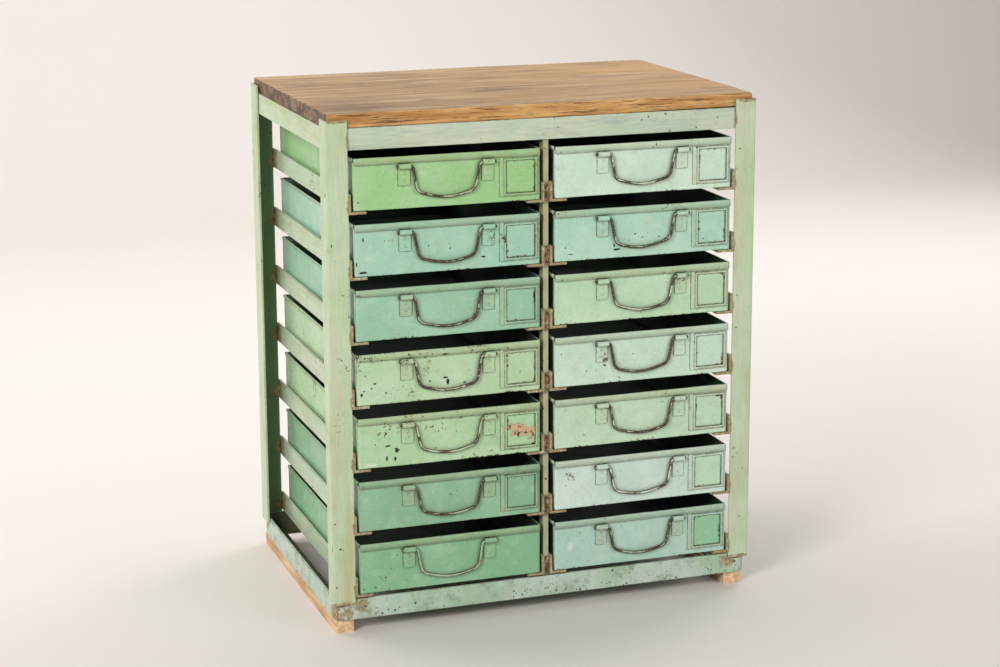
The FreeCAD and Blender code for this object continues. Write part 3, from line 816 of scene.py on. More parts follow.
def rounded_line(points: Sequence[tuple[float, float]], radius: float, turns: int = 4,
                 step: float = 0.014) -> list[tuple[float, float]]:
    """Runs a line through points, with an arc at each inner one and short spans between.

    Args:
        points: Corners of the line, in metres.
        radius: Radius of each fold.
        turns: Spans in each arc.
        step: Longest straight span.

    Returns:
        Points along the rounded line.
    """
    corners = [Vector(p) for p in points]
    line = [corners[0]]
    for before, corner, after in zip(corners, corners[1:], corners[2:]):
        back, ahead = (before - corner).normalized(), (after - corner).normalized()
        half = back.angle(ahead) / 2
        reach = radius / math.tan(half)
        centre = corner + (back + ahead).normalized() * (radius / math.sin(half))
        start, end = corner + back * reach - centre, corner + ahead * reach - centre
        sweep = start.angle_signed(end)
        # A short span beside each arc keeps the flats flat when they are shaded smooth.
        hold = radius * 0.5
        if (before - corner).length > 5 * radius:
            line.append(centre + start + back * hold)
        for i in range(turns + 1):
            angle = -sweep * i / turns
            turned = Vector((start.x * math.cos(angle) - start.y * math.sin(angle),
                             start.x * math.sin(angle) + start.y * math.cos(angle)))
            line.append(centre + turned)
        if (after - corner).length > 5 * radius:
            line.append(centre + end + ahead * hold)
    line.append(corners[-1])
    full = [line[0]]
    for a, b in zip(line, line[1:]):
        spans = max(1, math.ceil((b - a).length / step))
        full += [a.lerp(b, i / spans) for i in range(1, spans + 1)]
    return [(p.x, p.y) for p in full]


def spaced(low: float, high: float, step: float) -> list[float]:
    """Even stations from low to high, no further apart than step."""
    count = max(1, math.ceil((high - low) / step))
    return [low + (high - low) * i / count for i in range(count + 1)]


def add_strip(mesh: bmesh.types.BMesh, line: Sequence[tuple[float, float]], run: Sequence[float],
              lay: Lay, flip: bool = False, turned_from: float | None = None) -> None:
    """Draws a folded strip: a section line carried along a run.

    Args:
        mesh: The mesh to add to.
        line: Points of the section.
        run: Stations along the strip.
        lay: Which way the strip runs.
        flip: Whether the faces look the other way.
        turned_from: Height at which the sheet folds over, so that its inner side looks out from there on.
    """
    order = [lay.value.index(axis) for axis in range(3)]
    rows = [[mesh.verts.new([(r, u, v)[i] for i in order]) for u, v in line] for r in run]
    fold = len(line) if turned_from is None else next(i for i, (_, v) in enumerate(line) if v > turned_from)
    for first, second in zip(rows, rows[1:]):
        for i in range(len(line) - 1):
            ring = (first[i], first[i + 1], second[i + 1], second[i])
            made = mesh.faces.new(ring[::-1] if flip else ring)
            made.material_index = 1 if i >= fold else 0


def ripple(mesh: bmesh.types.BMesh, depth: float, size: float, seed: float) -> None:
    """Moves a sheet in and out along its normals, as rolled sheet that has had knocks.

    Args:
        mesh: The sheet.
        depth: Furthest move.
        size: Width of one ripple.
        seed: Makes each sheet its own shape.
    """
    mesh.normal_update()
    shift = Vector((seed * 3.1, seed * 1.7, seed * 2.3))
    moves = [(v, v.normal * depth * noise.noise(v.co / size + shift)) for v in mesh.verts]
    for vertex, move in moves:
        vertex.co += move


def make_piece(name: str, mesh: bmesh.types.BMesh, body: str, slot: str, material: bpy.types.Material,
               smooth: bool = True) -> bpy.types.Object:
    """Turns a drawn mesh into a named piece that rides on a body.

    Args:
        name: The piece's name.
        mesh: The drawn mesh, which is freed.
        body: The body that it moves with.
        slot: Not used.
        material: Its finish.
        smooth: Whether its faces are shaded smooth.

    Returns:
        The new object.
    """
    data = bpy.data.meshes.new(name)
    mesh.to_mesh(data)
    mesh.free()
    if smooth:
        data.shade_smooth()
    data.materials.append(material)
    piece = bpy.data.objects.new(name, data)
    bpy.context.scene.collection.objects.link(piece)
    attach(piece, body)
    LOG.info("%s: %d faces on %s", name, len(data.polygons), body)
    return piece


def dress(node: str, material: bpy.types.Material) -> None:
    """Gives a carried-over solid its finish.

    Args:
        node: The solid's node.
        material: Its finish.
    """
    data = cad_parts[node].data
    data.materials.clear()
    data.materials.append(material)


def add_rounded_block(mesh: bmesh.types.BMesh, low: Vector, high: Vector, steps: Sequence[float],
                      radius: Callable[[Vector], float]) -> None:
    """Draws a block with worn arrises.

    Args:
        mesh: The mesh to add to.
        low: Lowest corner.
        high: Highest corner.
        steps: Longest span along each axis.
        radius: How far the arris is worn back near a place.
    """
    def stations(a: float, b: float, step: float) -> list[float]:
        """Stations from a to b, close together at both arrises.

        Args:
            a: Lowest.
            b: Highest.
            step: Longest span between.

        Returns:
            The stations.
        """
        near = [0.0006, 0.0015, 0.003, 0.005]
        inner = spaced(a + 0.008, b - 0.008, step)
        return [a, *(a + n for n in near), *inner, *(b - n for n in reversed(near)), b]

    grid = [stations(low[i], high[i], steps[i]) for i in range(3)]
    made: dict[tuple[int, int, int], bmesh.types.BMVert] = {}

    def corner(index: tuple[int, int, int]) -> bmesh.types.BMVert:
        """Makes a corner of the grid once, pulled in to the worn arris.

        Args:
            index: Its station along each axis.

        Returns:
            The corner.
        """
        if index not in made:
            spot = Vector([grid[i][index[i]] for i in range(3)])
            worn = radius(spot)
            core = Vector([min(max(spot[i], low[i] + worn), high[i] - worn) for i in range(3)])
            away = spot - core
            if away.length > 1e-9:
                spot = core + away.normalized() * min(worn, away.length)
            made[index] = mesh.verts.new(spot)
        return made[index]

    for axis in range(3):
        u, v = [i for i in range(3) if i != axis]
        for side in (0, len(grid[axis]) - 1):
            for i in range(len(grid[u]) - 1):
                for j in range(len(grid[v]) - 1):
                    ring = []
                    for di, dj in ((0, 0), (1, 0), (1, 1), (0, 1)):
                        index = [0, 0, 0]
                        index[axis], index[u], index[v] = side, i + di, j + dj
                        ring.append(corner(tuple(index)))
                    mesh.faces.new(ring if (side == 0) == (axis == 1) else ring[::-1])
    bmesh.ops.recalc_face_normals(mesh, faces=mesh.faces)


def add_lump(mesh: bmesh.types.BMesh, centre: Vector, size: Vector, seed: float) -> None:
    """Draws one weld bead as an uneven rounded lump.

    Args:
        mesh: The mesh to add to.
        centre: Middle of the bead.
        size: Half its length along each axis.
        seed: Makes each bead its own shape.
    """
    ball = bmesh.ops.create_icosphere(mesh, subdivisions=3, radius=1.0)
    for vertex in ball["verts"]:
        spread = 1 + 0.35 * noise.noise(vertex.co * 1.6 + Vector((seed, seed * 2, 0)))
        spread += 0.14 * noise.noise(vertex.co * 5.0 + Vector((0, seed, seed)))
        vertex.co = centre + Vector([vertex.co[i] * size[i] for i in range(3)]) * spread


# ---------------------------------------------------------------- trays

@dataclass
class Tray:
    """One pressed tray with its lip, hems, brackets, card holder and wire handle."""

    column: str
    row: int
    look: TrayLook
    inside: bpy.types.Material
    sheet: float = 1.2 * MM
    fold: float = 1.4 * MM
    lip_height: float = 12 * MM
    lip_proud: float = 3.0 * MM
    hem_height: float = 5 * MM
    hem_proud: float = 1.5 * MM
    flange: float = 6 * MM
    corner_reach: float = 3 * MM
    tuck: float = 6 * MM
    ripple_depth: float = 0.55 * MM
    ripple_size: float = 75 * MM
    card_width: float = 56 * MM
    card_margin: float = 7.5 * MM
    card_foot: float = 13 * MM
    card_head: float = 74 * MM
    card_proud: float = 0.35 * MM
    card_span: float = 6 * MM
    label_width: float = 52 * MM
    label_margin: float = 9 * MM
    label_foot: float = 16 * MM
    label_head: float = 62 * MM
    label_proud: float = 1.0 * MM
    label_grain: float = 0.9 * MM
    bail_half: float = 60.9 * MM
    bail_corner_in: float = 9 * MM
    bail_corner_rise: float = 11 * MM
    bail_slack: float = 1.5
    bail_sway: float = 3.0
    bail_sag: float = 2.4 * MM
    bail_bends: tuple[float, ...] = (6 * MM, 16 * MM, 110 * MM, 16 * MM, 6 * MM)
    wire_sides: int = 12
    low: Vector = field(init=False)
    high: Vector = field(init=False)
    face_y: float = field(init=False)

    def __post_init__(self) -> None:
        """Reads the tray's place from its solid."""
        self.low, self.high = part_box(f"{self.name}_tray")
        self.face_y = self.low.y + self.lip_proud
        self.left_x = self.low.x + self.hem_proud
        self.right_x = self.high.x - self.hem_proud
        self.seed = self.row + (0 if self.column == "left" else 20)

    @property
    def name(self) -> str:
        """The tray's body name."""
        return f"{self.column}_drawer_{self.row}"

    @property
    def slot(self) -> str:
        """The record's slot for its paint."""
        return f"{self.name}_paint"

    def paint(self, part: str, **changes) -> bpy.types.Material:
        """Makes the tray's enamel for one of its parts, with any changes.

        Args:
            part: Name of the part.
            changes: Values that differ from the tray's own.

        Returns:
            The material.
        """
        look = self.look
        values = {
            "name": f"{self.name}_{part}_enamel", "coat": look.coat, "faded": look.faded, "seed": self.seed,
            "chips": look.chips, "specks": look.specks, "stain": look.stain,
        }
        return OldEnamel(**{**values, **changes}).build()

    def build(self) -> None:
        """Makes every visible piece of the tray."""
        self.build_sheet()
        self.build_card()
        if (self.column, self.row) == ("left", 5):
            self.build_label()
        # The fittings' wider joint line and wider bare edges give them a dark outline that is part dirt, part
        # painted shade.
        dress(f"{self.name}_fittings", self.paint("fittings", wear=1.5, rust_share=0.8, joint_mm=4.0,
                                                  chips=self.look.chips + 0.15,
                                                  faded=toned(self.look.faded, "#a9a67f", 0.35)))
        self.build_bail()

    def on_face(self, marks: Sequence[tuple[float, float, float, float]]) -> tuple[Spot, ...]:
        """Turns marks on the front, in millimetres from its lower left corner, into spots.

        Args:
            marks: Place across and up, and half the width and height, of each mark.

        Returns:
            The spots.
        """
        return tuple(Spot((self.left_x + across * MM, self.face_y, self.low.z + up * MM),
                          (wide * MM, 8 * MM, tall * MM))
                     for across, up, wide, tall in marks)

    def shaded_sides(self) -> tuple[Zone, ...]:
        """Painted shade: the side that faces the middle of the rack, and the front ends of both, are painted
        dark green where they lie in shadow.

        Returns:
            Zones that stay dark.
        """
        start, end = self.face_y + self.flange, self.high.y + 1 * MM
        below, above = self.low.z - 1 * MM, self.high.z - self.hem_height - 0.5 * MM
        inner_low, inner_high = (self.right_x - 3 * MM, self.high.x + 1 * MM)
        outer_low, outer_high = (self.low.x - 1 * MM, self.left_x + 3 * MM)
        if self.column == "right":
            inner_low, inner_high, outer_low, outer_high = outer_low, outer_high, inner_low, inner_high
        # Dark green painted as shade.
        dark = "#2b3a30"
        return (
            Zone(dark, (inner_low, start, below), (inner_high, end, above), 2 * MM),
            Zone(dark, (outer_low, start, below), (outer_high, start + 24 * MM, above), 4 * MM),
        )

    def build_sheet(self) -> None:
        """Folds the tray's sheet: floor, walls, hems, lip and corner flanges."""
        mesh = bmesh.new()
        half = self.sheet / 2
        low_z, top_z = self.low.z + half, self.high.z - half
        face, back = self.face_y + half, self.high.y - half
        left, right = self.left_x + half, self.right_x - half
        tuck, reach = self.tuck, self.corner_reach
        across = spaced(left + reach, right - reach, 0.013)
        inward = spaced(self.face_y + reach * 0.4, back, 0.016)
        fold_z = top_z - 0.3 * MM
        # Front: up from the floor, forwards over the top and down again as the lip.
        lip_y = self.low.y + half
        front = rounded_line([(face + tuck, low_z), (face, low_z), (face, top_z), (lip_y, top_z),
                              (lip_y, self.high.z - self.lip_height)], 0.9 * MM, step=0.012)
        full = [left - half, left + reach, *across[1:-1], right - reach, right + half]
        add_strip(mesh, front, full, Lay.ALONG_X, True, fold_z)
        rear = rounded_line([(back - tuck, low_z), (back, low_z), (back, top_z)], self.fold, step=0.02)
        add_strip(mesh, rear, spaced(left, right, 0.03), Lay.ALONG_X)
        for wall, out in ((left, -1), (right, 1)):
            hem = wall + out * self.hem_proud
            side = rounded_line([(wall - out * tuck, low_z), (wall, low_z), (wall, top_z), (hem, top_z),
                                 (hem, self.high.z - self.hem_height)], 0.7 * MM, step=0.02)
            add_strip(mesh, side, inward, Lay.ALONG_Y, out > 0, fold_z)
            cheek = [(wall + out * half * 0.8, self.face_y + reach * 0.3),
                     (wall + out * half * 1.6, self.face_y + self.flange)]
            heights = spaced(self.low.z + 1 * MM, self.high.z - self.hem_height - 1 * MM, 0.012)
            add_strip(mesh, cheek, heights, Lay.ALONG_Z, out < 0)
        floor = [(left + tuck * 0.5, low_z + 0.1 * MM), (right - tuck * 0.5, low_z + 0.1 * MM)]
        rows_y = spaced(face + tuck * 0.5, back - tuck * 0.5, 0.02)
        floor_line = rounded_line(floor, 1 * MM, step=0.02)
        add_strip(mesh, floor_line, rows_y, Lay.ALONG_Y, True)
        ripple(mesh, self.ripple_depth, self.ripple_size, self.seed)
        knocks, scuffs = self.on_face(self.look.marks), self.on_face(self.look.scuffs)
        coat = self.paint("sheet", zones=self.shaded_sides(), foot=self.low.z, knocks=knocks, scuffs=scuffs)
        rim = toned(self.look.coat, "#a3a382", 0.2)
        lip = self.paint("lip", coat=rim, faded=toned(rim, "#c6c8a8", 0.25), stain=0.35, wear=1.1,
                         knocks=knocks)
        piece = make_piece(f"{self.name}_sheet", mesh, self.name, self.slot, coat)
        # The inside of the sheet takes the dark primer, which also stands in for the shade inside the tray.
        for material in (self.inside, lip):
            piece.data.materials.append(material)
        thick = piece.modifiers.new("sheet_gauge", "SOLIDIFY")
        thick.thickness = self.sheet
        thick.offset = 0
        thick.use_even_offset = True
        thick.material_offset = 1
        thick.material_offset_rim = 0
        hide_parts(f"{self.name}_tray")

    def build_card(self) -> None:
        """Makes the painted card behind the window of the card holder, where the tray has one."""
        if (self.column, self.row) == ("left", 7):
            return
        mesh = bmesh.new()
        right = self.right_x - self.card_margin
        left = right - self.card_width
        low, high = self.low.z + self.card_foot, self.low.z + self.card_head
        front = self.face_y - self.card_proud
        line = rounded_line([(front, low), (front, high)], self.fold, step=self.card_span)
        add_strip(mesh, line, spaced(left, right, self.card_span), Lay.ALONG_X)
        ripple(mesh, 0.25 * MM, 0.02, self.seed)
        coat = self.look.card or self.look.coat
        enamel = self.paint("card", coat=coat, faded=coat, chips=0.15, seed=self.seed + 40)
        piece = make_piece(f"{self.name}_card", mesh, self.name, self.slot, enamel)
        thick = piece.modifiers.new("card_gauge", "SOLIDIFY")
        thick.thickness = 0.3 * MM
        thick.offset = 0

    def build_label(self) -> None:
        """Sticks what is left of the gummed label in the card window."""
        mesh = bmesh.new()
        right, front = self.right_x - self.label_margin, self.face_y - self.label_proud
        across = spaced(right - self.label_width, right, self.label_grain)
        upward = spaced(self.low.z + self.label_foot, self.low.z + self.label_head, self.label_grain)
        spots = [[mesh.verts.new((x, front, z)) for z in upward] for x in across]
        for i in range(len(across) - 1):
            for j in range(len(upward) - 1):
                u, v = i / len(across), j / len(upward)
                # Most is left along a slanting middle; large tears and small nicks eat into its rim.
                bulk = 0.62 - abs(v - 0.55 + 0.3 * (u - 0.5)) * 2.1 - abs(u - 0.42) * 0.5
                tears = noise.noise(Vector((u * 6.0, v * 6.0, 3.0))) * 0.55
                nicks = noise.noise(Vector((u * 21, v * 21, 1))) * 0.2
                if bulk + (tears + nicks) > 0.08:
                    mesh.faces.new((spots[i][j], spots[i + 1][j], spots[i + 1][j + 1], spots[i][j + 1]))
        bmesh.ops.delete(mesh, geom=[v for v in mesh.verts if not v.link_faces], context="VERTS")
        make_piece(f"{self.name}_torn_label", mesh, self.name, self.slot, OldPaper().build())

    def build_bail(self) -> None:
        """Bends the wire handle, each a little differently, in the knuckles of the brackets."""
        node = f"{self.name}_handle"
        low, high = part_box(node)
        radius = (high.y - low.y) / 2
        pivot = Vector(((low.x + high.x) / 2, (low.y + high.y) / 2, high.z - radius))
        stub = (high.x - low.x) / 2
        drop = pivot.z - low.z - radius
        rng = random.Random(self.seed)
        leg, slack = self.bail_half, self.bail_slack
        in_left, in_right = (self.bail_corner_in + rng.uniform(-slack, slack) * MM for _ in range(2))
        rise_left, rise_right = (self.bail_corner_rise + rng.uniform(-slack, slack) * MM for _ in range(2))
        outline = [
            (-stub, 0), (-leg, 0), (-leg + in_left, -drop + rise_left),
            (rng.uniform(-self.bail_sway, self.bail_sway) * MM, -drop - self.bail_sag),
            (leg - in_right, -drop + rise_right), (leg, 0), (stub, 0),
        ]
        line = self.wire_line(outline, self.bail_bends)
        mesh = bmesh.new()
        sides = self.wire_sides
        rings = []
        for i, (x, z) in enumerate(line):
            ahead = Vector(line[min(i + 1, len(line) - 1)]) - Vector(line[max(i - 1, 0)])
            ahead.normalize()
            across = Vector((-ahead.y, 0, ahead.x))
            middle = pivot + Vector((x, 0, z))
            ring = []
            for s in range(sides):
                turn = 2 * math.pi * s / sides
                out = across * math.cos(turn) + Vector((0, 1, 0)) * math.sin(turn)
                pits = 1 + 0.05 * noise.noise(middle * 160 + Vector((s * 0.4, self.seed, 0)))
                ring.append(mesh.verts.new(middle + out * min(radius, radius * 0.96 * pits)))
            rings.append(ring)
        for first, second in zip(rings, rings[1:]):
            for s in range(sides):
                t = (s + 1) % sides
                mesh.faces.new((first[s], first[t], second[t], second[s]))
        mesh.faces.new(rings[0][::-1])
        mesh.faces.new(rings[-1])
        bmesh.ops.recalc_face_normals(mesh, faces=mesh.faces)
        wire = WornWire(f"{self.name}_worn_wire", toned(self.look.faded, "#b5b394", 0.35), self.seed,
                        self.look.wire_paint).build()
        piece = make_piece(f"{self.name}_bail_wire", mesh, f"{self.name}_bail", "handle_steel", wire)
        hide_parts(node)

    @staticmethod
    def wire_line(points: Sequence[tuple[float, float]], radii: Sequence[float]) -> list[tuple[float, float]]:
        """Runs the wire through its corners, each with its own bend.

        Args:
            points: Corners of the wire in its own plane.
            radii: Bend radius at each inner corner.

        Returns:
            Points along the bent wire.
        """
        line = [points[0]]
        for before, corner, after, radius in zip(points, points[1:], points[2:], radii):
            bent = rounded_line([before, corner, after], radius, turns=8, step=1.0)
            line += bent[1:-1]
        line.append(points[-1])
        full = [line[0]]
        for a, b in zip(line, line[1:]):
            start, end = Vector(a), Vector(b)
            spans = max(1, math.ceil((end - start).length / 0.005))
            full += [tuple(start.lerp(end, i / spans)) for i in range(1, spans + 1)]
        return full


# ---------------------------------------------------------------- frame and timber

@dataclass
class SteelFrame:
    """Posts, rails and runners, with the weld beads that hold them together."""

    coat: str = "#b5c9a2"
    faded: str = "#c0d0b0"
    centre_bead: tuple[float, float, float] = (5.4, 3.8, 13.5)
    front_bead: tuple[float, float, float] = (2.2, 3, 11)
    rear_bead: tuple[float, float, float] = (3, 4, 13)
    foot_bead: tuple[float, float, float] = (13, 2.2, 3)

    def build(self) -> None:
        """Dresses the steel and adds the welds."""
        self.dress_steel()
        self.build_welds()

    def enamel(self, name: str, seed: int, **changes) -> bpy.types.Material:
        """Makes the frame's enamel for one member.

        Args:
            name: Name of the material.
            seed: Makes the member its own pattern.
            changes: Values that differ from the frame's own.

        Returns:
            The material.
        """
        values = {"name": name, "coat": self.coat, "faded": self.faded, "seed": seed, "chips": 0.35,
                  "specks": 0.5, "stain": 0.55, "wear": 0.7}
        return OldEnamel(**{**values, **changes}).build()

    def dress_steel(self) -> None:
        """Paints each member with its own wear."""
        self.dress_posts()
        self.dress_rails()
        self.dress_runners()
        dress("wood_screws", ZincScrew().build())

    def inward_shade_zone(self, colour: str, low_z: float = 0.0, high_z: float = 1.0, inset: float = 0.0) -> Zone:
        """The faces of the frame that look inwards, painted darker as shade.

        Args:
            colour: Colour of the painted shade.
            low_z: Where they start.
            high_z: Where they end.
            inset: How far inside the posts the member lies.

        Returns:
            The zone.
        """
        low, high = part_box("front_left_post")[0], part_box("rear_right_post")[1]
        skin = 3.4 * MM + inset
        return Zone(colour, (low.x + skin, low.y + skin, low_z), (high.x - skin, high.y - skin, high_z))

    def ledge_rust(self, x: float, y: float, reach: tuple[float, float, float]) -> Spot:
        """Rust that comes back at every row of runners.

        Args:
            x: Middle of the rust across.
            y: Middle of the rust from front to back.
            reach: How far it spreads along each axis.

        Returns:
            The spot, repeated up the rack.
        """
        first, second = (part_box(f"left_drawer_{row}_tray")[0].z for row in (7, 6))
        return Spot((x, y, first + 8 * MM), reach, second - first)

    def dress_posts(self) -> None:
        """Paints the corner posts, pale outside with painted shade inside, and the centre posts."""
        for seed, (end, side) in enumerate(((e, s) for e in ("front", "rear") for s in COLUMNS), 50):
            node = f"{end}_{side}_post"
            low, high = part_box(node)
            toe_x = high.x if side == "left" else low.x
            toe_y = low.y if end == "front" else high.y
            back = high.y - 4 * MM if end == "rear" else toe_y
            wide = 17 * MM if end == "rear" else 5 * MM
            rust = (self.ledge_rust(toe_x, back, (wide, 9 * MM, 20 * MM)),
                    Spot(((low.x + high.x) / 2, toe_y, low.z), (40 * MM, 20 * MM, 9 * MM)),
                    Spot(((low.x + high.x) / 2, toe_y, high.z), (34 * MM, 30 * MM, 9 * MM)))
            knocks: tuple[Spot, ...] = ()
            if node == "front_left_post":
                knocks = tuple(Spot((low.x + x * MM, low.y + y * MM, z), (r * MM, r * MM, tall * MM)) for x,
                               y, z, r, tall
                               in ((0, 3, 0.788, 1.2, 6), (0, 3, 0.160, 1.2, 6), (14, 0, 0.158, 2.4, 1.8),
                                   (19, 0, 0.156, 1.2, 1.2), (5, 0, 0.205, 1.6, 2.2), (6, 0, 0.088, 1.4, 1.8),
                                   (9, 0, 0.70, 1.2, 3.0)))
            # The inward faces are painted a darker green as painted shade.
            dress(node, self.enamel(f"{node}_enamel", seed, streak=Streak.UPRIGHT, stain=0.6, mottle=0.8,
                                    mottle_colour="#cbbea8", rust_spots=rust, knocks=knocks,
                                    zones=(self.inward_shade_zone("#68865f"),)))
        low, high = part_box("centre_posts")
        rust = self.ledge_rust(0.0, low.y, (14 * MM, 14 * MM, 30 * MM))
        dress("centre_posts", self.enamel("centre_post_enamel", 71, coat="#a9ac86", faded="#b8b593",
                                          stain=0.8,
                                          streak=Streak.UPRIGHT, rust_share=0.9, rust_spots=(rust,),
                                          mottle=0.4, mottle_colour="#8f8a62"))

    def dress_rails(self) -> None:
        """Paints the rails of the top and bottom frames."""
        # The inward faces of the rails are painted dark green as painted shade.
        for seed, end in enumerate(("front", "rear"), 60):
            dress(f"top_{end}_rail", self.enamel(
                f"top_{end}_rail_enamel", seed, streak=Streak.ACROSS, coat="#b8c8b0", faded="#c6ceb7",
                stain=0.6,
                mottle=0.8, mottle_colour="#9aa6a6", zones=(self.inward_shade_zone("#3f5244", inset=4 * MM),),
                wear=1.0,
                specks=0.6, chips=0.45))
        # The inward faces of the rails are painted dark green as painted shade.
        for seed, side in enumerate(COLUMNS, 64):
            dress(f"top_{side}_rail", self.enamel(
                f"top_{side}_rail_enamel", seed, streak=Streak.INWARD, coat="#b6c9a4", stain=0.65, mottle=0.3,
                zones=(self.inward_shade_zone("#3f5244", inset=4 * MM),)))
        low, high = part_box("bottom_frame")
        corner = 42 * MM
        spots = (Spot((low.x + 6 * MM, low.y + 6 * MM, 0.036), (corner, corner, 34 * MM)),
                 Spot((low.x + 48 * MM, low.y, 0.052), (24 * MM, 9 * MM, 24 * MM)),
                 Spot((high.x - 38 * MM, low.y, 0.048), (26 * MM, 12 * MM, 22 * MM)),
                 Spot((high.x - 8 * MM, low.y + 6 * MM, 0.058), (24 * MM, 24 * MM, 9 * MM)),
                 Spot((low.x, high.y - 20 * MM, 0.05), (10 * MM, 30 * MM, 24 * MM)))
        # The inward faces and ledges of the bottom frame are painted dark olive as painted shade.
        rim_shade = self.inward_shade_zone("#55563f", 0.0, high.z - 0.4 * MM, 4 * MM)
        wet = Zone("#20201c", (low.x + 50 * MM, low.y - 0.1, -0.1), (high.x - 30 * MM, low.y + 0.1, 0.052),
                   20 * MM)
        dress("bottom_frame", self.enamel(
            "bottom_frame_enamel", 70, coat="#a7c2a8", faded="#c0cfc3", chips=0.6, specks=0.85, wear=0.9,
            stain=0.45,
            mottle=0.9, mottle_colour="#8d9a88", streak=Streak.NONE, rust_spots=spots, zones=(rim_shade,),
            pits=wet))

    def dress_runners(self) -> None:
        """Paints the runners, rusty where their ends were cut and welded."""
        for seed, node in enumerate(("left_side", "left_centre", "right_centre", "right_side"), 72):
            low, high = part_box(f"{node}_runners")
            middle = ((low.x + high.x) / 2, (low.z + high.z) / 2)
            ends = (Spot((middle[0], low.y, middle[1]), (80 * MM, 10 * MM, 2.0)),
                    Spot((middle[0], high.y, middle[1]), (80 * MM, 58 * MM, 2.0)))
            dress(f"{node}_runners", self.enamel(
                f"{node}_runner_enamel", seed, coat="#b5cbab", faded="#c2d0b6", streak=Streak.INWARD,
                wear=1.0,
                rust_share=0.9, chips=0.5, rust_spots=ends, mottle=0.6, mottle_colour="#a3ab8c"))

    def build_welds(self) -> None:
        """Lays the beads where the runners meet the posts, and at the feet of the posts."""
        rust = WeldRust().build()
        post_low, post_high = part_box("front_left_post")
        right_low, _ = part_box("front_right_post")
        centre_low, centre_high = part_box("centre_posts")
        rng = random.Random(4)
        spots: dict[str, list[tuple[Vector, Vector]]] = {"front": [], "rear": [], "feet": []}
        for row in ROWS:
            tray_low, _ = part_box(f"left_drawer_{row}_tray")
            ledge = tray_low.z
            for end, y in (("front", centre_low.y - 2 * MM), ("rear", centre_high.y + 1 * MM)):
                for side in (-1, 1):
                    high = ledge + rng.uniform(8, 16) * MM
                    spots[end].append((Vector((side * 3.6 * MM, y, high)), Vector(self.centre_bead) * MM))
            for x, side in ((post_high.x, -1), (right_low.x, 1)):
                high = ledge + rng.uniform(6, 14) * MM
                spots["front"].append((Vector((x, post_low.y + 3.5 * MM, high)),
                                       Vector(self.front_bead) * MM))
                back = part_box("rear_left_post")[1].y - 5 * MM
                spots["rear"].append((Vector((x, back, high)), Vector(self.rear_bead) * MM))
        foot = post_low.z
        for x in (post_low.x + 20 * MM, -post_low.x - 20 * MM):
            spots["feet"].append((Vector((x, post_low.y + 3.4 * MM, foot)), Vector(self.foot_bead) * MM))
        for end, beads in spots.items():
            mesh = bmesh.new()
            for count, (centre, size) in enumerate(beads):
                add_lump(mesh, centre, size, count * 1.7)
            make_piece(f"{end}_weld_beads", mesh, "frame", "runner_paint", rust)


@dataclass
class Timber:
    """The board top and the two skids."""

    board_count: int = 3
    half_seam: float = 0.5 * MM
    spans: tuple[float, float, float] = (0.02, 0.02, 0.006)

    def build(self) -> None:
        """Makes the boards and dresses the skids."""
        self.build_boards()
        pine = NewPine().build()
        for side in COLUMNS:
            dress(f"{side}_skid", pine)

    def build_boards(self) -> None:
        """Planes three boards with worn arrises and ragged left ends."""
        low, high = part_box("timber_top")
        step = (high.y - low.y) / self.board_count
        for number in range(self.board_count):
            mesh = bmesh.new()
            start = Vector((low.x, low.y + number * step + self.half_seam, low.z))
            end = Vector((high.x, low.y + (number + 1) * step - self.half_seam, high.z))
            add_rounded_block(mesh, start, end, self.spans, self.worn_radius)
            self.roughen(mesh, low, number)
            boards = OldBoards(f"old_board_{number + 1}", number * 7 + 2).build()
            piece = make_piece(f"top_board_{number + 1}", mesh, "frame", "old_boards", boards)
            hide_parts("timber_top")

    @staticmethod
    def worn_radius(spot: Vector) -> float:
        """Says how far the arris is worn back at a place.

        Args:
            spot: The place.

        Returns:
            The radius there.
        """
        wavy = 1.9 + 1.1 * noise.noise(spot * 14)
        # The front right-hand end was planed off in a long slope.
        ahead = min(max((spot.x - 0.12) / 0.27, 0.0), 1.0) * (1.0 if spot.y < -0.2 else 0.0)
        return (wavy + 4.2 * ahead) * MM

    @staticmethod
    def roughen(mesh: bmesh.types.BMesh, low: Vector, number: int) -> None:
        """Breaks up the left end grain and cups the boards a little.

        Args:
            mesh: The board.
            low: The top's lowest corner.
            number: Makes each board its own shape.
        """
        for vertex in mesh.verts:
            end = max(0.0, 1 - (vertex.co.x - low.x) / (9 * MM))
            if end > 0:
                fibre = noise.noise(Vector((number, vertex.co.y * 260, vertex.co.z * 160)))
                vertex.co.x += end * (0.8 + 1.4 * max(0.0, fibre)) * MM
            vertex.co.z -= abs(noise.noise(Vector((vertex.co.x * 3, vertex.co.y * 9, number)))) * 0.7 * MM


# ---------------------------------------------------------------- studio

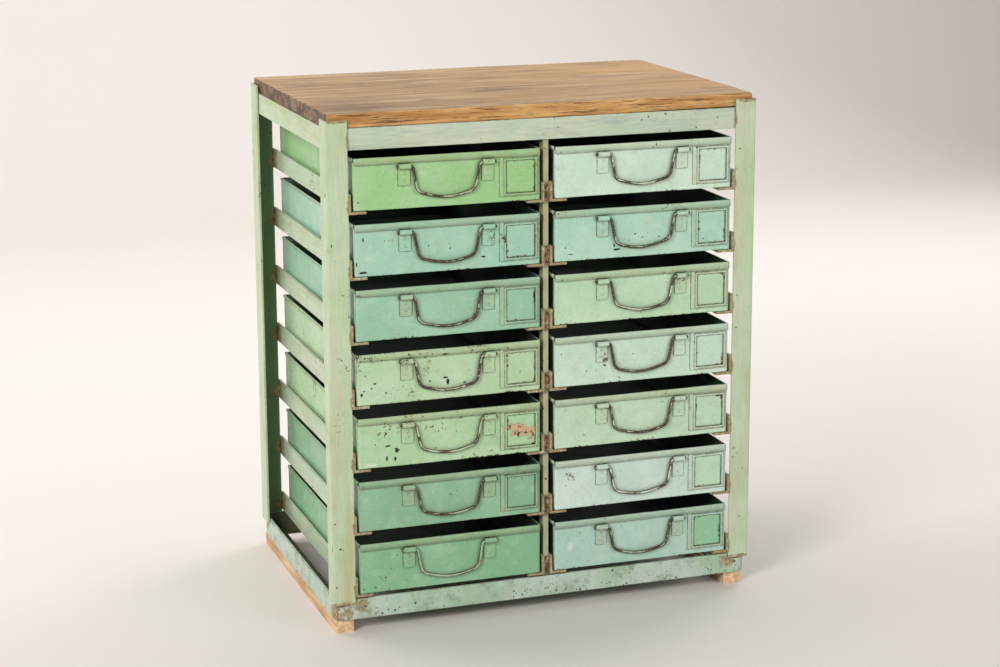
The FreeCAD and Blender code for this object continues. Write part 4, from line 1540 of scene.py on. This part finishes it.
@dataclass
class Studio:
    """Floor, lights and camera."""

    lens: float = 81.966
    place: tuple[float, float, float] = (-1.3669, -3.9390, 1.4685)
    turn: float = 19.192
    tilt: float = 12.417
    roll: float = -0.247
    raise_view: float = -0.05
    room_light: float = 0.26

    def build(self) -> None:
        """Sets up the floor, the light and the camera."""
        self.build_floor()
        self.build_lights()
        self.build_camera()

    def build_floor(self) -> None:
        """Lays a plain pale floor that rises behind the object."""
        mesh = bmesh.new()
        line = rounded_line([(-7.0, 0.0), (5.0, 0.0), (5.0, 6.0)], 1.5, turns=12, step=2.0)
        add_strip(mesh, line, spaced(-9.0, 9.0, 2.0), Lay.ALONG_X)
        data = bpy.data.meshes.new("studio_floor")
        mesh.to_mesh(data)
        mesh.free()
        data.shade_smooth()
        data.materials.append(StudioPaper().build())
        floor = bpy.data.objects.new("studio_floor", data)
        bpy.context.scene.collection.objects.link(floor)
        floor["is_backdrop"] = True

    def build_lights(self) -> None:
        """Hangs large soft lights all round, strongest at the front left, in an evenly lit room."""
        world = bpy.data.worlds.new("studio_light")
        world.use_nodes = True
        sky = world.node_tree.nodes["Background"]
        sky.inputs["Color"].default_value = linear("#fbf8f5")
        sky.inputs["Strength"].default_value = self.room_light
        scene = bpy.context.scene
        scene.world = world
        # Plain display curve, so that a paint shows as the colour it was given.
        scene.view_settings.view_transform = "Standard"
        middle, wall = Vector((0, 0, 0.45)), Vector((0, 5, 1.4))
        lamps = (
            ("key", (-3.3, -3.0, 2.7), middle, 1.7, 141.0), ("fill", (2.3, -3.6, 1.9), middle, 2.2, 49.0),
            ("rear_left", (-3.0, 2.6, 2.4), middle, 2.0, 45.0),
            ("rear_right", (3.2, 2.2, 2.4), middle, 2.0, 52.0),
            ("wall_wash", (0, 1.2, 4.2), wall, 4.0, 150.0),
        )
        for name, place, aim, size, power in lamps:
            light = bpy.data.lights.new(f"{name}_light", "AREA")
            light.size = size
            light.energy = power
            lamp = bpy.data.objects.new(f"{name}_light", light)
            lamp.location = place
            lamp.rotation_euler = (aim - lamp.location).to_track_quat("-Z", "Y").to_euler()
            scene.collection.objects.link(lamp)

    def build_camera(self) -> None:
        """Places the camera at the left of the front, a little above the top."""
        view = bpy.data.cameras.new("camera")
        view.lens = self.lens
        view.shift_y = self.raise_view
        camera = bpy.data.objects.new("camera", view)
        aim = (Matrix.Rotation(math.radians(-self.turn), 4, "Z")
               @ Matrix.Rotation(math.radians(90 - self.tilt), 4, "X")
               @ Matrix.Rotation(math.radians(self.roll), 4, "Z"))
        camera.matrix_world = Matrix.Translation(Vector(self.place)) @ aim
        bpy.context.scene.collection.objects.link(camera)
        bpy.context.scene.camera = camera


def write_sizes() -> None:
    """Works out the box of the solids and the box of the finished model; the result is not kept."""
    boxes = {"cad": CAD_BOX, "visual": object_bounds()}
    {name: [list(low), list(high)] for name, (low, high) in boxes.items()}


def main() -> None:
    """Builds the studio and the rack in order."""
    logging.basicConfig(level=logging.INFO, format="%(message)s")
    Studio().build()
    SteelFrame().build()
    Timber().build()
    inside = DarkPrimerAndShade().build()
    for column in COLUMNS:
        for row in ROWS:
            Tray(column, row, TRAY_LOOKS[column, row], inside).build()
    write_sizes()


if __name__ == "__main__":
    main()
